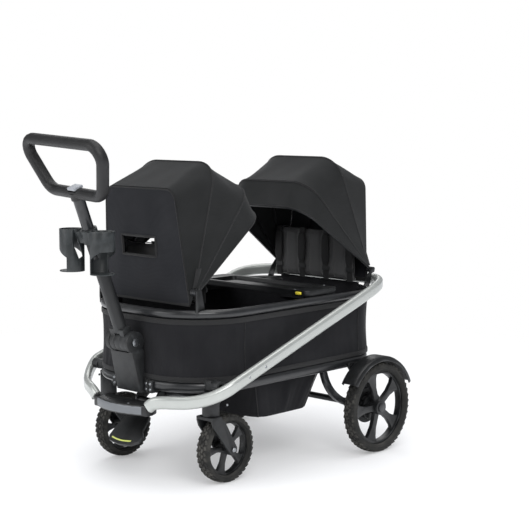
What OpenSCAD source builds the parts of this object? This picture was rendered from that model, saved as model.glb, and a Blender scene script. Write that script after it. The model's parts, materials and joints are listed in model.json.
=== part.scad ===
// Folding stroller wagon with two facing seats, two canopies and a pull handle.
// +X points to the rear (large wheels), +Z up. All sizes are millimetres.

/* [Wheels] */
// Diameter of a rear wheel
rear_wheel_d = 305; // [290:1:315]
// Width of a rear tyre
rear_tyre_w = 52; // [46:1:54]
// Diameter of a front wheel
front_wheel_d = 215; // [205:1:217]
// Width of a front tyre
front_tyre_w = 50; // [42:1:52]
// Distance between front and rear wheel centres
wheelbase = 626; // [616:1:640]
// Outside width over the rear tyres
track_outer = 738; // [734:1:744]
// Distance between the front wheels' middle planes
front_track = 484; // [478:1:486]
// Distance of a front wheel behind its swivel axis
trail = 62; // [58:1:64]

/* [Tub] */
// Outside width of the tub frames
tub_w = 580; // [576:1:584]
// Lowest point of the lower frame tube
lower_z = 291; // [289:1:293]
// Height of the lower frame tube
lower_h = 34; // [30:1:36]
// Lowest point of the top rim tube
rim_z = 520; // [518:1:524]
// Height of the top rim tube
rim_h = 28; // [26:1:30]
// Width of both frame tubes
tube_w = 26; // [24:1:26]
// How far the top rim comes down when the wagon folds
rim_drop = 126; // [120:1:128]

/* [Side frame] */
// Width of the bright side tube
side_w = 25; // [22:1:26]
// Height of the bright side tube
side_h = 40; // [36:1:42]
// Distance from the middle plane to the side tube's centre
side_y = 325; // [323:1:328]
// Rise of the side tube for each unit of length
side_slope = 0.347; // [0.34:0.001:0.35]

/* [Handle] */
// Height of the handle hinge above the ground
knuckle_z = 442; // [440:1:444]
// Lean of the handle in front of the vertical, in degrees
handle_lean = 21; // [18:1:22]
// Distance from the handle hinge to the middle of the grip's top bar
handle_len = 664; // [656:1:668]
// Diameter of the lower handle tube
lower_tube_d = 42; // [40:1:42]
// Turn of the grip about its tube, in degrees
grip_yaw = 7; // [0:1:13]
// Inside diameter of a cup ring
cup_d = 70; // [66:1:72]

/* [Canopies] */
// Height of the canopy hinges above the ground
canopy_z = 602; // [600:1:604]
// Radius of the leading hoop about the canopy hinge
hoop_r = 414; // [410:1:414]
// Diameter of a hoop rod
hoop_d = 7; // [6:0.5:7]

/* [Hidden] */

// Places along X are measured from the middle of the wheelbase, then moved by this to the origin.
origin_x = 156.6;
clear = 0.3;
fit = 0.05;
rear_r = rear_wheel_d / 2;
front_r = front_wheel_d / 2;
rear_x = wheelbase / 2;
front_x = -wheelbase / 2;
rear_y = (track_outer - rear_tyre_w) / 2;
front_y = front_track / 2;
caster_x = front_x - trail;
knuckle_x = -512;

// Plan of the two tub tubes, as centre lines: front end, rear end, half width, corner radii.
lower_plan = [-462, 417, tub_w / 2 - tube_w / 2, 197, 152];
rim_plan = [-463, 427, tub_w / 2 - tube_w / 2, 197, 152];
lower_mid = lower_z + lower_h / 2;
rim_mid = rim_z + rim_h / 2;

module place() { translate([origin_x, 0, 0]) children(); }
module both() {
  children();
  mirror([0, 1, 0]) children();
}

// A tube section, round at the top and bottom, w wide and h tall.
function oval(w, h, n = 20) = [
  for (i = [0:n - 1])
    let (a = 360 * (i + 0.5) / n)
      [w / 2 * cos(a), w / 2 * sin(a) + (sin(a) > 0 ? 1 : -1) * (h - w) / 2]
];
function unit(v) = v / norm(v);

// A solid that carries one section along a path, its upright side kept upright.
module sweep(path, section) {
  n = len(section);
  m = len(path);
  rings = [
    for (i = [0:m - 1])
      let (
        t = unit(path[min(i + 1, m - 1)] - path[max(i - 1, 0)]),
        s = unit(cross(t, [0, 0, 1])),
        u = cross(s, t)
      )
        for (q = section) path[i] + s * q[0] + u * q[1]
  ];
  sides = [
    for (i = [0:m - 2], j = [0:n - 1])
      let (a = i * n + j, b = i * n + (j + 1) % n)
        [a, b, b + n, a + n]
  ];
  polyhedron(rings, concat([[for (j = [n - 1:-1:0]) j]], sides, [[for (j = [0:n - 1]) (m - 1) * n + j]]),
    convexity = 6);
}

// A closed loop of tube with straight sides and round corners.
module tube_loop(plan, w, h) {
  front = plan[0];
  rear = plan[1];
  half = plan[2];
  rf = plan[3];
  rr = plan[4];
  section = oval(w, h);
  for (s = [0, 1])
    mirror([0, s, 0]) {
      translate([front + rf, half, 0]) rotate([90, 0, 90]) linear_extrude(rear - rr - front - rf) polygon(section);
      translate([front + rf, half - rf, 0]) rotate([0, 0, 90])
        rotate_extrude(angle = 90, $fn = 96) translate([rf, 0]) polygon(section);
      translate([rear - rr, half - rr, 0])
        rotate_extrude(angle = 90, $fn = 96) translate([rr, 0]) polygon(section);
    }
  translate([front, half - rf, 0]) rotate([90, 0, 0]) linear_extrude(2 * (half - rf)) polygon(section);
  translate([rear, half - rr, 0]) rotate([90, 0, 0]) linear_extrude(2 * (half - rr)) polygon(section);
}

// The outline of a tub floor or wall, moved inwards from a centre line plan by inset.
module tub_outline(plan, inset) {
  front = plan[0] + inset;
  rear = plan[1] - inset;
  half = plan[2] - inset;
  rf = plan[3] - inset;
  rr = plan[4] - inset;
  polygon(concat(
    [for (a = [0:6:90]) [rear - rr + rr * cos(a), half - rr + rr * sin(a)]],
    [for (a = [90:6:180]) [front + rf + rf * cos(a), half - rf + rf * sin(a)]],
    [for (a = [180:6:270]) [front + rf + rf * cos(a), rf - half + rf * sin(a)]],
    [for (a = [270:6:360]) [rear - rr + rr * cos(a), rr - half + rr * sin(a)]]
  ));
}

module lower_loop(extra = 0) {
  translate([0, 0, lower_mid]) tube_loop(lower_plan, tube_w + extra, lower_h + extra);
}
module rim_loop(extra = 0) {
  translate([0, 0, rim_mid]) tube_loop(rim_plan, tube_w + extra, rim_h + extra);
}

module lower_frame() { color([0.10, 0.10, 0.10]) place() lower_loop(); }

module top_rim() {
  color([0.10, 0.11, 0.12]) place() {
    rim_loop();
    both() translate([bar_x, bar_y - 2, bar_z]) rotate([-90, 0, 0]) cylinder(r = 4, h = 16, $fn = 32);
  }
}

floor_z = 306;
floor_t = 8;
module floor_panel() {
  color([0.13, 0.13, 0.14]) place()
    translate([0, 0, floor_z]) linear_extrude(floor_t) tub_outline(lower_plan, tube_w / 2 + 0.5);
}

// A fabric wall between the two tubes.
wall_t = 3;
wall_plan = [-470.5, 431.5, 284.5, 203.5, 158.5];
module tray_wall() {
  color([0.09, 0.09, 0.10]) place()
    translate([0, 0, lower_z + lower_h - 1]) linear_extrude(rim_z - lower_z - lower_h)
      difference() {
        tub_outline(wall_plan, -wall_t / 2);
        tub_outline(wall_plan, wall_t / 2);
      }
}

cross_x = [caster_x, 160];
module cross_tubes() {
  color([0.10, 0.10, 0.10]) place() {
    translate([cross_x[0], 0, 268]) rotate([90, 0, 0]) cylinder(d = 24, h = 2 * front_y - 52, center = true);
    translate([cross_x[1], 0, 296]) rotate([90, 0, 0]) cylinder(d = 18, h = tub_w - 53, center = true);
  }
}

// The swivel housings stand under the front corners of the lower frame.
housing_r = 27;
kingpin_r = 8;
housing_z = 221;
module caster_housings() {
  color([0.12, 0.12, 0.12]) place()
    both() difference() {
      union() {
        translate([caster_x, front_y, housing_z]) cylinder(r = housing_r, h = 77, $fn = 48);
        translate([caster_x, front_y + 6, 0]) rotate([90, 0, 0])
          linear_extrude(12) polygon([[0, 244], [30, 250], [58, 276], [58, 290], [0, 290]]);
      }
      lower_loop(2 * clear);
      translate([caster_x, front_y, housing_z - 1]) cylinder(r = kingpin_r + fit, h = 52, $fn = 48);
      translate([cross_x[0], 0, 268]) rotate([90, 0, 0]) cylinder(d = 24, h = 2 * front_y - 52, center = true);
    }
}

// A front fork with its upright pin, crown, two legs and wheel bolt.
bolt_r = 5;
leg_gap = front_tyre_w / 2 + 4;
leg_t = 7;
module caster_fork(side) {
  color([0.12, 0.12, 0.12]) place()
    translate([caster_x, side * front_y, 0]) {
      cylinder_z(kingpin_r, 214, housing_z + 47);
      translate([-27, -leg_gap - leg_t, 209]) cube([40, 2 * (leg_gap + leg_t), 10]);
      for (s = [-1, 1])
        translate([0, s * (leg_gap + leg_t / 2) + leg_t / 2, 0]) rotate([90, 0, 0]) linear_extrude(leg_t)
          polygon(concat(
            [[-27, 219], [-27, 206], [-20, 186]],
            [for (a = [215:10:395]) [trail + 17 * cos(a), front_r + 17 * sin(a)]],
            [[28, 200], [13, 212], [13, 219]]
          ));
      translate([trail, 0, front_r]) rotate([90, 0, 0])
        cylinder(r = bolt_r, h = 2 * (leg_gap + leg_t) + 6, center = true, $fn = 32);
      for (s = [-1, 1])
        translate([trail, s * (leg_gap + leg_t + 2), front_r]) rotate([90, 0, 0])
          cylinder(r = 9, h = 4, center = true, $fn = 6);
    }
}
module cylinder_z(r, z0, z1) { translate([0, 0, z0]) cylinder(r = r, h = z1 - z0, $fn = 48); }
module caster_fork_left() { caster_fork(1); }
module caster_fork_right() { caster_fork(-1); }

// A solid tyre, its tread edge rounded in three steps.
module tyre(r, w, inner) {
  half = [
    [inner, w / 2 - 9], [inner + 3, w / 2 - 5], [inner + 8, w / 2 - 1], [r - 18, w / 2],
    [r - 8, w / 2 - 2.5], [r - 3, w / 2 - 7], [r, w / 2 - 14]
  ];
  lower = [for (i = [len(half) - 1:-1:0]) [half[i][0], -half[i][1]]];
  rotate([90, 0, 0]) rotate_extrude($fn = 120) polygon(concat(half, lower));
}

// A five-spoke wheel, its spokes narrow at the hub and flared at the rim.
module wheel_rim(r, w, hub_r, hub_w, bore) {
  band = r * 0.075;
  difference() {
    union() {
      rotate([90, 0, 0]) rotate_extrude($fn = 120)
        polygon([[r - band, -w / 2 + 9], [r, -w / 2 + 9], [r, w / 2 - 9], [r - band, w / 2 - 9]]);
      rotate([90, 0, 0]) cylinder(r = hub_r, h = hub_w, center = true, $fn = 64);
      for (k = [0:4])
        rotate([0, 36 + 72 * k, 0]) rotate([90, 0, 0]) linear_extrude(w * 0.34, center = true)
          polygon([
            [hub_r * 0.6, -hub_r * 0.42], [r * 0.55, -r * 0.085], [r * 0.8, -r * 0.15], [r - band / 2, -r * 0.27],
            [r - band / 2, r * 0.27], [r * 0.8, r * 0.15], [r * 0.55, r * 0.085], [hub_r * 0.6, hub_r * 0.42]
          ]);
    }
    rotate([90, 0, 0]) cylinder(r = bore, h = hub_w + 2, center = true, $fn = 48);
  }
}

front_inner = 0.79 * front_r;
rear_inner = 0.82 * rear_r;
module at_front_wheel(side) { translate([front_x, side * front_y, front_r]) children(); }
module at_rear_wheel(side) { translate([rear_x, side * rear_y, rear_r]) children(); }

module front_tyre(side) {
  color([0.17, 0.17, 0.17]) place() at_front_wheel(side) tyre(front_r, front_tyre_w, front_inner);
}
module front_tyre_left() { front_tyre(1); }
module front_tyre_right() { front_tyre(-1); }

module front_rim(side) {
  color([0.09, 0.09, 0.09]) place() at_front_wheel(side) wheel_rim(front_inner, 40, 19, 2 * leg_gap - 2, bolt_r + fit);
}
module front_rim_left() { front_rim(1); }
module front_rim_right() { front_rim(-1); }

module rear_tyre(side) {
  color([0.17, 0.17, 0.17]) place() at_rear_wheel(side) tyre(rear_r, rear_tyre_w, rear_inner);
}
module rear_tyre_left() { rear_tyre(1); }
module rear_tyre_right() { rear_tyre(-1); }

// The rear wheel carries a notched brake ring on its inner side.
stub_r = 6;
ring_y = 309;
ring_r = 46;
notches = 12;
module rear_rim(side) {
  color([0.09, 0.09, 0.09]) place() translate([rear_x, 0, rear_r]) scale_side(side) {
    translate([0, rear_y, 0]) wheel_rim(rear_inner, 42, 25, 40, stub_r + fit);
    difference() {
      translate([0, ring_y + 7.5, 0]) rotate([90, 0, 0]) cylinder(r = ring_r, h = 15, center = true, $fn = 96);
      translate([0, ring_y, 0]) rotate([90, 0, 0]) cylinder(r = stub_r + fit, h = 60, center = true, $fn = 48);
      for (k = [0:notches - 1])
        rotate([0, 360 * k / notches, 0]) translate([ring_r - 7, ring_y - 1, -5]) cube([12, 9, 10]);
    }
  }
}
module scale_side(side) { mirror([0, side > 0 ? 0 : 1, 0]) children(); }
module rear_rim_left() { rear_rim(1); }
module rear_rim_right() { rear_rim(-1); }

plate_y = 284;
plate_t = 10;
module rear_axle() {
  color([0.10, 0.10, 0.10]) place() translate([rear_x, 0, rear_r]) rotate([90, 0, 0]) {
    cylinder(r = 11, h = 2 * plate_y, center = true, $fn = 48);
    cylinder(r = stub_r, h = 2 * (rear_y + 24), center = true, $fn = 48);
    for (s = [-1, 1])
      translate([0, 0, s * (rear_y + 22.2)]) cylinder(r = 15, h = 3.6, center = true, $fn = 48);
  }
}

// Upright plates that carry the axle, each with a brake drum cover and a guide for its pawl.
module brake_housings() {
  color([0.11, 0.11, 0.11]) place()
    both() difference() {
      union() {
        translate([rear_x, plate_y + plate_t, 0]) rotate([90, 0, 0]) linear_extrude(plate_t)
          polygon(concat(
            [for (a = [200:10:340]) [34 * cos(a), rear_r + 34 * sin(a)]],
            [[46, 250], [40, 310], [-90, 310], [-90, 296], [-44, 240]]
          ));
        translate([rear_x, plate_y + plate_t, rear_r]) rotate([-90, 0, 0]) cylinder(r = 60, h = 7, $fn = 72);
        for (s = [-1, 1])
          translate([rear_x - 74, plate_y + plate_t, rear_r + s * 7.5 - 3]) cube([20, 19, 6]);
      }
      translate([rear_x, 250, rear_r]) rotate([-90, 0, 0]) cylinder(r = stub_r, h = 80, $fn = 48);
      lower_loop(2 * clear);
    }
}

pawl_travel = 6;
module brake_pawls() {
  color([0.55, 0.56, 0.57]) place()
    both() translate([rear_x - 72, ring_y - 7, rear_r - 4]) cube([24, 9, 8]);
}

// A strut that curves down from the lower frame to the axle.
function bend(t, p, q, r) = p * (1 - t) * (1 - t) + q * 2 * t * (1 - t) + r * t * t;
function strut_side(off) = [
  for (i = [0:14])
    let (
      t = i / 14,
      a = [112, 309],
      b = [138, 176],
      c = [rear_x - 4, rear_r],
      d = unit((b - a) * (1 - t) + (c - b) * t)
    )
      bend(t, a, b, c) + off * [-d[1], d[0]]
];
module axle_struts() {
  upper = strut_side(11);
  lower = strut_side(-11);
  color([0.10, 0.10, 0.10]) place()
    both() difference() {
      translate([0, 280.5, 0]) rotate([90, 0, 0]) linear_extrude(16)
        polygon(concat(upper, [for (i = [len(lower) - 1:-1:0]) lower[i]]));
      lower_loop(2 * clear);
      translate([rear_x, 200, rear_r]) rotate([-90, 0, 0]) cylinder(r = 11.05, h = 120, $fn = 48);
    }
}

// Curved mudguards over the rear wheels, with an outer lip and an inner skirt.
guard_r = 171;
module fenders() {
  color([0.07, 0.07, 0.07]) place()
    both() {
      translate([rear_x, 0, rear_r]) rotate([90, 0, 0]) rotate([0, 0, 24])
        rotate_extrude(angle = 122, $fn = 120) polygon([
          [guard_r - 12, -369], [guard_r - 4, -369], [guard_r + 2, -366], [guard_r + 5, -358],
          [guard_r + 5, -314], [guard_r, -306], [guard_r - 14, -303], [guard_r - 14, -306],
          [guard_r - 3, -309], [guard_r + 2, -316], [guard_r + 2, -357], [guard_r - 1, -364],
          [guard_r - 5, -366.4], [guard_r - 12, -366.4]
        ]);
      difference() {
        translate([rear_x - 84, 294, 296]) cube([112, 10, 12]);
        lower_loop(2 * clear);
        translate([rear_x, 400, rear_r]) rotate([90, 0, 0]) cylinder(r = guard_r - 14, h = 200, $fn = 96);
      }
    }
}

// A fabric basket hung from the lower frame, open at the top.
basket_top = [[-176, 136], [-240, 240], 290];
basket_low = [[-140, 104], [-226, 226], 168];
module basket_block(inset, top_z, low_z) {
  hull() {
    translate([basket_top[0][0] + inset, basket_top[1][0] + inset, top_z])
      cube([basket_top[0][1] - basket_top[0][0] - 2 * inset, basket_top[1][1] - basket_top[1][0] - 2 * inset, 0.1]);
    translate([basket_low[0][0] + inset, basket_low[1][0] + inset, low_z])
      cube([basket_low[0][1] - basket_low[0][0] - 2 * inset, basket_low[1][1] - basket_low[1][0] - 2 * inset, 0.1]);
  }
}
module basket() {
  color([0.08, 0.08, 0.09]) place()
    difference() {
      basket_block(0, basket_top[2], basket_low[2]);
      basket_block(3, basket_top[2] + 0.2, basket_low[2] + 3);
    }
}

// The front post leans forward from the lower frame to the handle hinge.
ear_in = 35.3;
ear_out = 51.5;
knuckle_r = 34;
pin_r = 8;
module front_post() {
  color([0.14, 0.15, 0.15]) place()
    difference() {
      union() {
        intersection() {
          translate([0, 80, 0]) rotate([90, 0, 0]) linear_extrude(160)
            polygon([
              [-495, 282], [-531, 434], [-493.5, 449.5], [-478, 411], [-478, 322], [-450, 322], [-450, 289],
              [-470, 282]
            ]);
          translate([-600, 0, 0]) rotate([90, 0, 90]) linear_extrude(200)
            polygon([[-56, 281], [56, 281], [ear_out, 405], [ear_out, 460], [-ear_out, 460], [-ear_out, 405]]);
        }
        both() translate([knuckle_x, ear_out, knuckle_z]) rotate([90, 0, 0])
          cylinder(r = knuckle_r, h = ear_out - ear_in, $fn = 64);
      }
      lower_loop(2 * clear);
      translate([knuckle_x, 0, knuckle_z]) rotate([90, 0, 0]) cylinder(r = knuckle_r + 1.5, h = 2 * ear_in, center = true, $fn = 64);
      translate([knuckle_x, 0, knuckle_z]) rotate([90, 0, 0]) cylinder(r = pin_r, h = 120, center = true, $fn = 48);
    }
}

module knuckle_pin() {
  color([0.35, 0.36, 0.37]) place() translate([knuckle_x, 0, knuckle_z]) rotate([90, 0, 0]) {
    cylinder(r = pin_r, h = 2 * ear_out, center = true, $fn = 48);
    for (s = [-1, 1])
      translate([0, 0, s * (ear_out + 1.5)]) cylinder(r = 13, h = 3, center = true, $fn = 48);
  }
}

module post_clamps() {
  color([0.13, 0.13, 0.13]) place()
    both() for (y = [58, 77])
      difference() {
        translate([-483, y, 284]) cube([30, 15, 37.5]);
        lower_loop(2 * clear);
      }
}

// Brackets on the lower frame: the side frame's hinge pins in front, the scissor tracks behind.
hinge_x = -385;
hinge_z = 318;
track_x = 250;
track_z = 342;
bar_y = 254;
bar_t = 5;
module fold_brackets() {
  color([0.13, 0.13, 0.13]) place()
    both() {
      difference() {
        translate([hinge_x - 14, 236, hinge_z - 13]) cube([28, 31.5, 30]);
        lower_loop(2 * clear);
        linear_extrude(400) tub_outline(wall_plan, -wall_t / 2 - 0.6);
      }
      translate([hinge_x, 260, hinge_z]) rotate([-90, 0, 0]) cylinder(r = pin_r, h = 21.5, $fn = 48);
      difference() {
        translate([track_x - 24, bar_y - 7, 314.4]) cube([78, 6, 46]);
        translate([track_x - 14, bar_y - 10, track_z - 7]) cube([58, 12, 14]);
      }
    }
}

// The bright side tube: a straight rising side that curves in to the step plate and round the back.
bend_front = [-350, 60, -525, 125];
bend_rear = [290, 125, 171, side_y - 125];
function side_z(x) = 424 + side_slope * (x + 58);
function front_bend_z(s) =
  side_z(bend_front[0]) - 3 * side_slope * bend_front[1] * s - 368 * s * s + 842 * s * s * s - 482 * s * s * s * s;
function front_bend(s) =
  let (
    p = [[bend_front[0], side_y], [bend_front[0] - bend_front[1], side_y],
      [bend_front[2], bend_front[3] + bend_front[1]], [bend_front[2], bend_front[3]]],
    w = [(1 - s) * (1 - s) * (1 - s), 3 * (1 - s) * (1 - s) * s, 3 * (1 - s) * s * s, s * s * s],
    q = w * p
  )
    [q[0], q[1], front_bend_z(s)];
function rear_bend_z(s) = side_z(bend_rear[0]) + 93 * s - 119.4 * s * s + 48.6 * s * s * s;
front_bend_path = [for (i = [14:-1:1]) front_bend(i / 14)];
straight_path = [for (i = [0:4]) let (x = bend_front[0] + (bend_rear[0] - bend_front[0]) * i / 4) [x, side_y, side_z(x)]];
rear_bend_path = [
  for (i = [1:14])
    let (s = i / 14, a = 90 - 90 * s)
      [bend_rear[0] + bend_rear[2] * cos(a), bend_rear[1] + bend_rear[3] * sin(a), rear_bend_z(s)]
];
rear_mid = rear_bend_path[13];
module side_tubes() {
  color([0.80, 0.82, 0.80]) place()
    both() sweep(concat(front_bend_path, straight_path), oval(side_w, side_h, 16));
}
module rear_bend() {
  half = concat([straight_path[4], straight_path[4] + [1, 0, side_slope]], rear_bend_path);
  other = [for (i = [len(half) - 1:-1:0]) [half[i][0], -half[i][1], half[i][2]]];
  color([0.80, 0.82, 0.80]) place() sweep(concat(half, other), oval(side_w, side_h, 16));
}

module side_hinges() {
  color([0.35, 0.36, 0.37]) place()
    both() difference() {
      translate([hinge_x, 268.2, hinge_z]) rotate([-90, 0, 0]) cylinder(r = 17, h = 28, $fn = 64);
      translate([hinge_x, 260, hinge_z]) rotate([-90, 0, 0]) cylinder(r = pin_r + fit, h = 40, $fn = 48);
    }
}

// A bowed step plate that joins the front ends of the side tubes.
bumper_z = 222;
bumper_h = 34;
module front_bumper() {
  color([0.15, 0.15, 0.15]) place()
    difference() {
      translate([0, 0, bumper_z]) linear_extrude(bumper_h)
        polygon(concat(
          [[-480, -112], [-480, 112], [-508, 124.6], [-536, 124.6]],
          [for (a = [0:7]) let (y = 105 - 30 * a) [-560 + 24 * y * y / 11025, y]],
          [[-536, -124.6], [-508, -124.6]]
        ));
      translate([-502, -70, bumper_z - 1]) cube([30, 140, 14]);
    }
}

module pedal_bracket() {
  color([0.12, 0.12, 0.12]) place()
    difference() {
      union() {
        both() translate([0, 48, 0]) rotate([90, 0, 0]) linear_extrude(7)
          polygon([[-428, 232], [-405, 224], [-362, 256], [-362, 284], [-400, 284], [-428, 248]]);
        translate([-416, 0, 238]) rotate([90, 0, 0]) cylinder(r = 5, h = 96, center = true, $fn = 32);
      }
      translate([cross_x[0], 0, 268]) rotate([90, 0, 0]) cylinder(d = 24.2, h = 300, center = true);
    }
}

pedal_pin = [-416, 238];
pedal_slope = 43;
pedal_len = 172;
module brake_pedal() {
  color([0.06, 0.06, 0.07]) place()
    translate([pedal_pin[0], 0, pedal_pin[1]]) {
      difference() {
        union() {
          rotate([90, 0, 0]) cylinder(r = 9.5, h = 80, center = true, $fn = 48);
          rotate([0, -pedal_slope, 0]) translate([0, 0, -9]) linear_extrude(9)
            polygon([
              [0, -36], [-40, -36], [-70, -52], [-112, -60], [-128, -78], [-150, -76], [-166, -50], [-pedal_len, 0],
              [-166, 50], [-150, 62], [-112, 60], [-70, 52], [-40, 36], [0, 36]
            ]);
        }
        rotate([90, 0, 0]) cylinder(r = 5 + fit, h = 90, center = true, $fn = 32);
      }
    }
}

// Flat bars inside the tub, hinged on the top rim and sliding in the lower tracks.
bar_x = -255;
bar_z = 528;
bar_len = norm([track_x - bar_x, bar_z - track_z]);
bar_angle = atan2(bar_z - track_z, track_x - bar_x);
module scissor_bars() {
  color([0.40, 0.41, 0.42]) place()
    both() difference() {
      union() {
        translate([bar_x, bar_y + bar_t, bar_z]) rotate([90, 0, 0]) rotate([0, 0, -bar_angle]) {
          translate([0, -10, 0]) cube([bar_len, 20, bar_t]);
          cylinder(r = 13, h = bar_t, $fn = 48);
          translate([bar_len, 0, 0]) cylinder(r = 10, h = bar_t, $fn = 48);
          translate([bar_len, 0, bar_t - 0.1]) cylinder(r = 5, h = 6, $fn = 32);
        }
      }
      translate([bar_x, bar_y - 1, bar_z]) rotate([-90, 0, 0]) cylinder(r = 4 + fit, h = 20, $fn = 32);
    }
}

// A crossing tray that sits on the rim between the two seats.
tray_x = [40, 200];
tray_z = 548.4;
tray_t = 19;
tray_half = 268;
button = [14, 22, 9];
module snack_tray() {
  color([0.10, 0.11, 0.12]) place()
    difference() {
      union() {
        translate([0, 0, tray_z]) linear_extrude(tray_t) rounded(tray_x[0], tray_x[1], tray_half, 26);
        both() translate([tray_x[0] + 14, 234, 522]) cube([128, 16, 28]);
      }
      translate([0, 0, tray_z + 6]) linear_extrude(tray_t) rounded(tray_x[0] + 14, tray_x[1] - 14, 208, 20);
      both() translate([tray_x[0] - 1, 219.7, tray_z + 4.7]) cube([button[0] + 6, button[1] + 0.6, button[2] + 0.6]);
    }
}
module rounded(x0, x1, half, r) {
  polygon([
    for (c = [[x1 - r, half - r, 0], [x0 + r, half - r, 90], [x0 + r, r - half, 180], [x1 - r, r - half, 270]])
      for (a = [0:15:90]) [c[0] + r * cos(c[2] + a), c[1] + r * sin(c[2] + a)]
  ]);
}
module tray_button(side) {
  color([0.93, 0.86, 0.30]) place() scale_side(side)
    translate([tray_x[0] - 6, 220, tray_z + 5]) cube([button[0] + 2, button[1], button[2]]);
}
module tray_button_left() { tray_button(1); }
module tray_button_right() { tray_button(-1); }

// A padded cushion: a crowned top with two sewn channels, sides drawn in between the corners.
function ease(v) = 1 - v * v * v * v;
function pad_point(size, i, j, n, m, top) =
  let (
    u = 2 * i / n - 1,
    v = 2 * j / m - 1,
    x = size[0] / 2 * u * (1 - size[3] * ease(v) * u * u),
    y = size[1] / 2 * v * (1 - size[3] * ease(u) * v * v),
    seam = 0.22 * (exp(-pow((abs(v) - 0.36) / 0.05, 2))) * ease(u),
    edge = pow(max(0, ease(u)), 0.5) * pow(max(0, ease(v)), 0.5)
  )
    [x, y, top ? size[2] * (0.42 + (0.58 - seam) * edge) : size[2] * 0.30 * (1 - edge)];
module pad(size, n, m) {
  top = [for (i = [0:n], j = [0:m]) pad_point(size, i, j, n, m, true)];
  low = [for (i = [0:n], j = [0:m]) pad_point(size, i, j, n, m, false)];
  k = (n + 1) * (m + 1);
  w = m + 1;
  faces = concat(
    [for (i = [0:n - 1], j = [0:m - 1]) [i * w + j, i * w + j + 1, (i + 1) * w + j + 1]],
    [for (i = [0:n - 1], j = [0:m - 1]) [i * w + j, (i + 1) * w + j + 1, (i + 1) * w + j]],
    [for (i = [0:n - 1], j = [0:m - 1]) [k + i * w + j, k + (i + 1) * w + j + 1, k + i * w + j + 1]],
    [for (i = [0:n - 1], j = [0:m - 1]) [k + i * w + j, k + (i + 1) * w + j, k + (i + 1) * w + j + 1]],
    [for (i = [0:n - 1]) each side_faces(i * w, (i + 1) * w, k)],
    [for (i = [0:n - 1]) each side_faces((i + 1) * w + m, i * w + m, k)],
    [for (j = [0:m - 1]) each side_faces(j + 1, j, k)],
    [for (j = [0:m - 1]) each side_faces(n * w + j, n * w + j + 1, k)]
  );
  polyhedron(concat(top, low), faces, convexity = 4);
}
function side_faces(a, b, k) = [[a, b, b + k], [a, b + k, a + k]];
function flipped(faces) = [for (f = faces) [f[0], f[2], f[1]]];

seat_z = floor_z + floor_t + 0.4;
module seat_cushions() {
  color([0.16, 0.16, 0.17]) place() {
    translate([288, 0, seat_z]) pad([167, 400, 65, 0.05], 11, 26);
    translate([-239, 0, seat_z]) pad([167, 400, 65, 0.05], 11, 26);
  }
}

// Padded seat backs hinged at the rim, facing each other.
seat_hinge = [402.5, -356.5];
seat_hinge_z = 552;
seat_half = 186;
seat_len = 192;
seat_t = 22;
module seat_back() {
  translate([0, 0, seat_hinge_z + seat_len / 2]) rotate([0, -90, 0])
    pad([seat_len - 2, 2 * seat_half, seat_t, 0.03], 11, 26);
}
module rear_seat_back() { color([0.24, 0.24, 0.24]) place() translate([seat_hinge[0], 0, 0]) seat_back(); }
module front_seat_back() {
  color([0.24, 0.24, 0.24]) place() translate([seat_hinge[1], 0, 0]) mirror([1, 0, 0]) seat_back();
}

// Shoulder straps with pads, two pairs on each seat back.
strap_y = [-166, -56, 56, 166];
module harness() {
  for (y = strap_y) {
    translate([-seat_t - 2.5, y - 14, seat_hinge_z + 6]) cube([2.2, 28, seat_len - 14]);
    translate([-seat_t - 7, y - 17, seat_hinge_z + 62]) cube([6, 34, 104]);
  }
}
module rear_harness() { color([0.06, 0.06, 0.06]) place() translate([seat_hinge[0], 0, 0]) harness(); }
module front_harness() {
  color([0.06, 0.06, 0.06]) place() translate([seat_hinge[1], 0, 0]) mirror([1, 0, 0]) harness();
}

// Canopy hoops turn on pins that stand on the rim. Angles are up from the wagon's middle.
pivot_x = [-410, 430];
hem = [-4, -47];
panel_angle = 95;
crest_angle = 71.5;
hoop_angle = 48;
visor_angle = 35;
panel_y = [194, 162];
crest_y = 203;
hoop_y = 211;
visor_y = 219;
taper = 36;
panel_r = 361;
crest_r = 405;
visor_r = 397;
canopy_pin_r = 4;
module at_canopy(k) { translate([pivot_x[k], 0, canopy_z]) mirror([k, 0, 0]) children(); }

// One U-shaped rod in the XY plane: two arms that lean in, two round corners and a crossing bar.
function rod() = [for (i = [0:9]) hoop_d / 2 * [cos(36 * i + 18), sin(36 * i + 18)]];
function hoop_half(half, r, corner, start) =
  let (
    lean = atan2(taper, r),
    c = [r - corner, half - taper + taper * corner / r - corner / cos(lean)],
    arc = [for (i = [0:7]) let (a = (90 - lean) + (lean - 90) * i / 7) c + corner * [cos(a), sin(a)]],
    q = c + corner * [cos(90 - lean), sin(90 - lean)]
  )
    concat([[start, q[1] + (q[0] - start) * tan(lean)]], arc);
function hoop_path(half, r, corner, start) =
  let (h = hoop_half(half, r, corner, start))
    concat([for (q = h) [q[0], q[1], 0]], [for (i = [len(h) - 1:-1:0]) [h[i][0], -h[i][1], 0]]);
module hoop(half, r, corner) {
  difference() {
    union() {
      sweep(hoop_path(half, r, corner, 7), rod());
      both() translate([0, half + hoop_d / 2, 0]) rotate([90, 0, 0]) cylinder(r = 10, h = hoop_d, $fn = 40);
    }
    both() translate([0, half + 10, 0]) rotate([90, 0, 0]) cylinder(r = canopy_pin_r + fit, h = 20, $fn = 40);
  }
}

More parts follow.
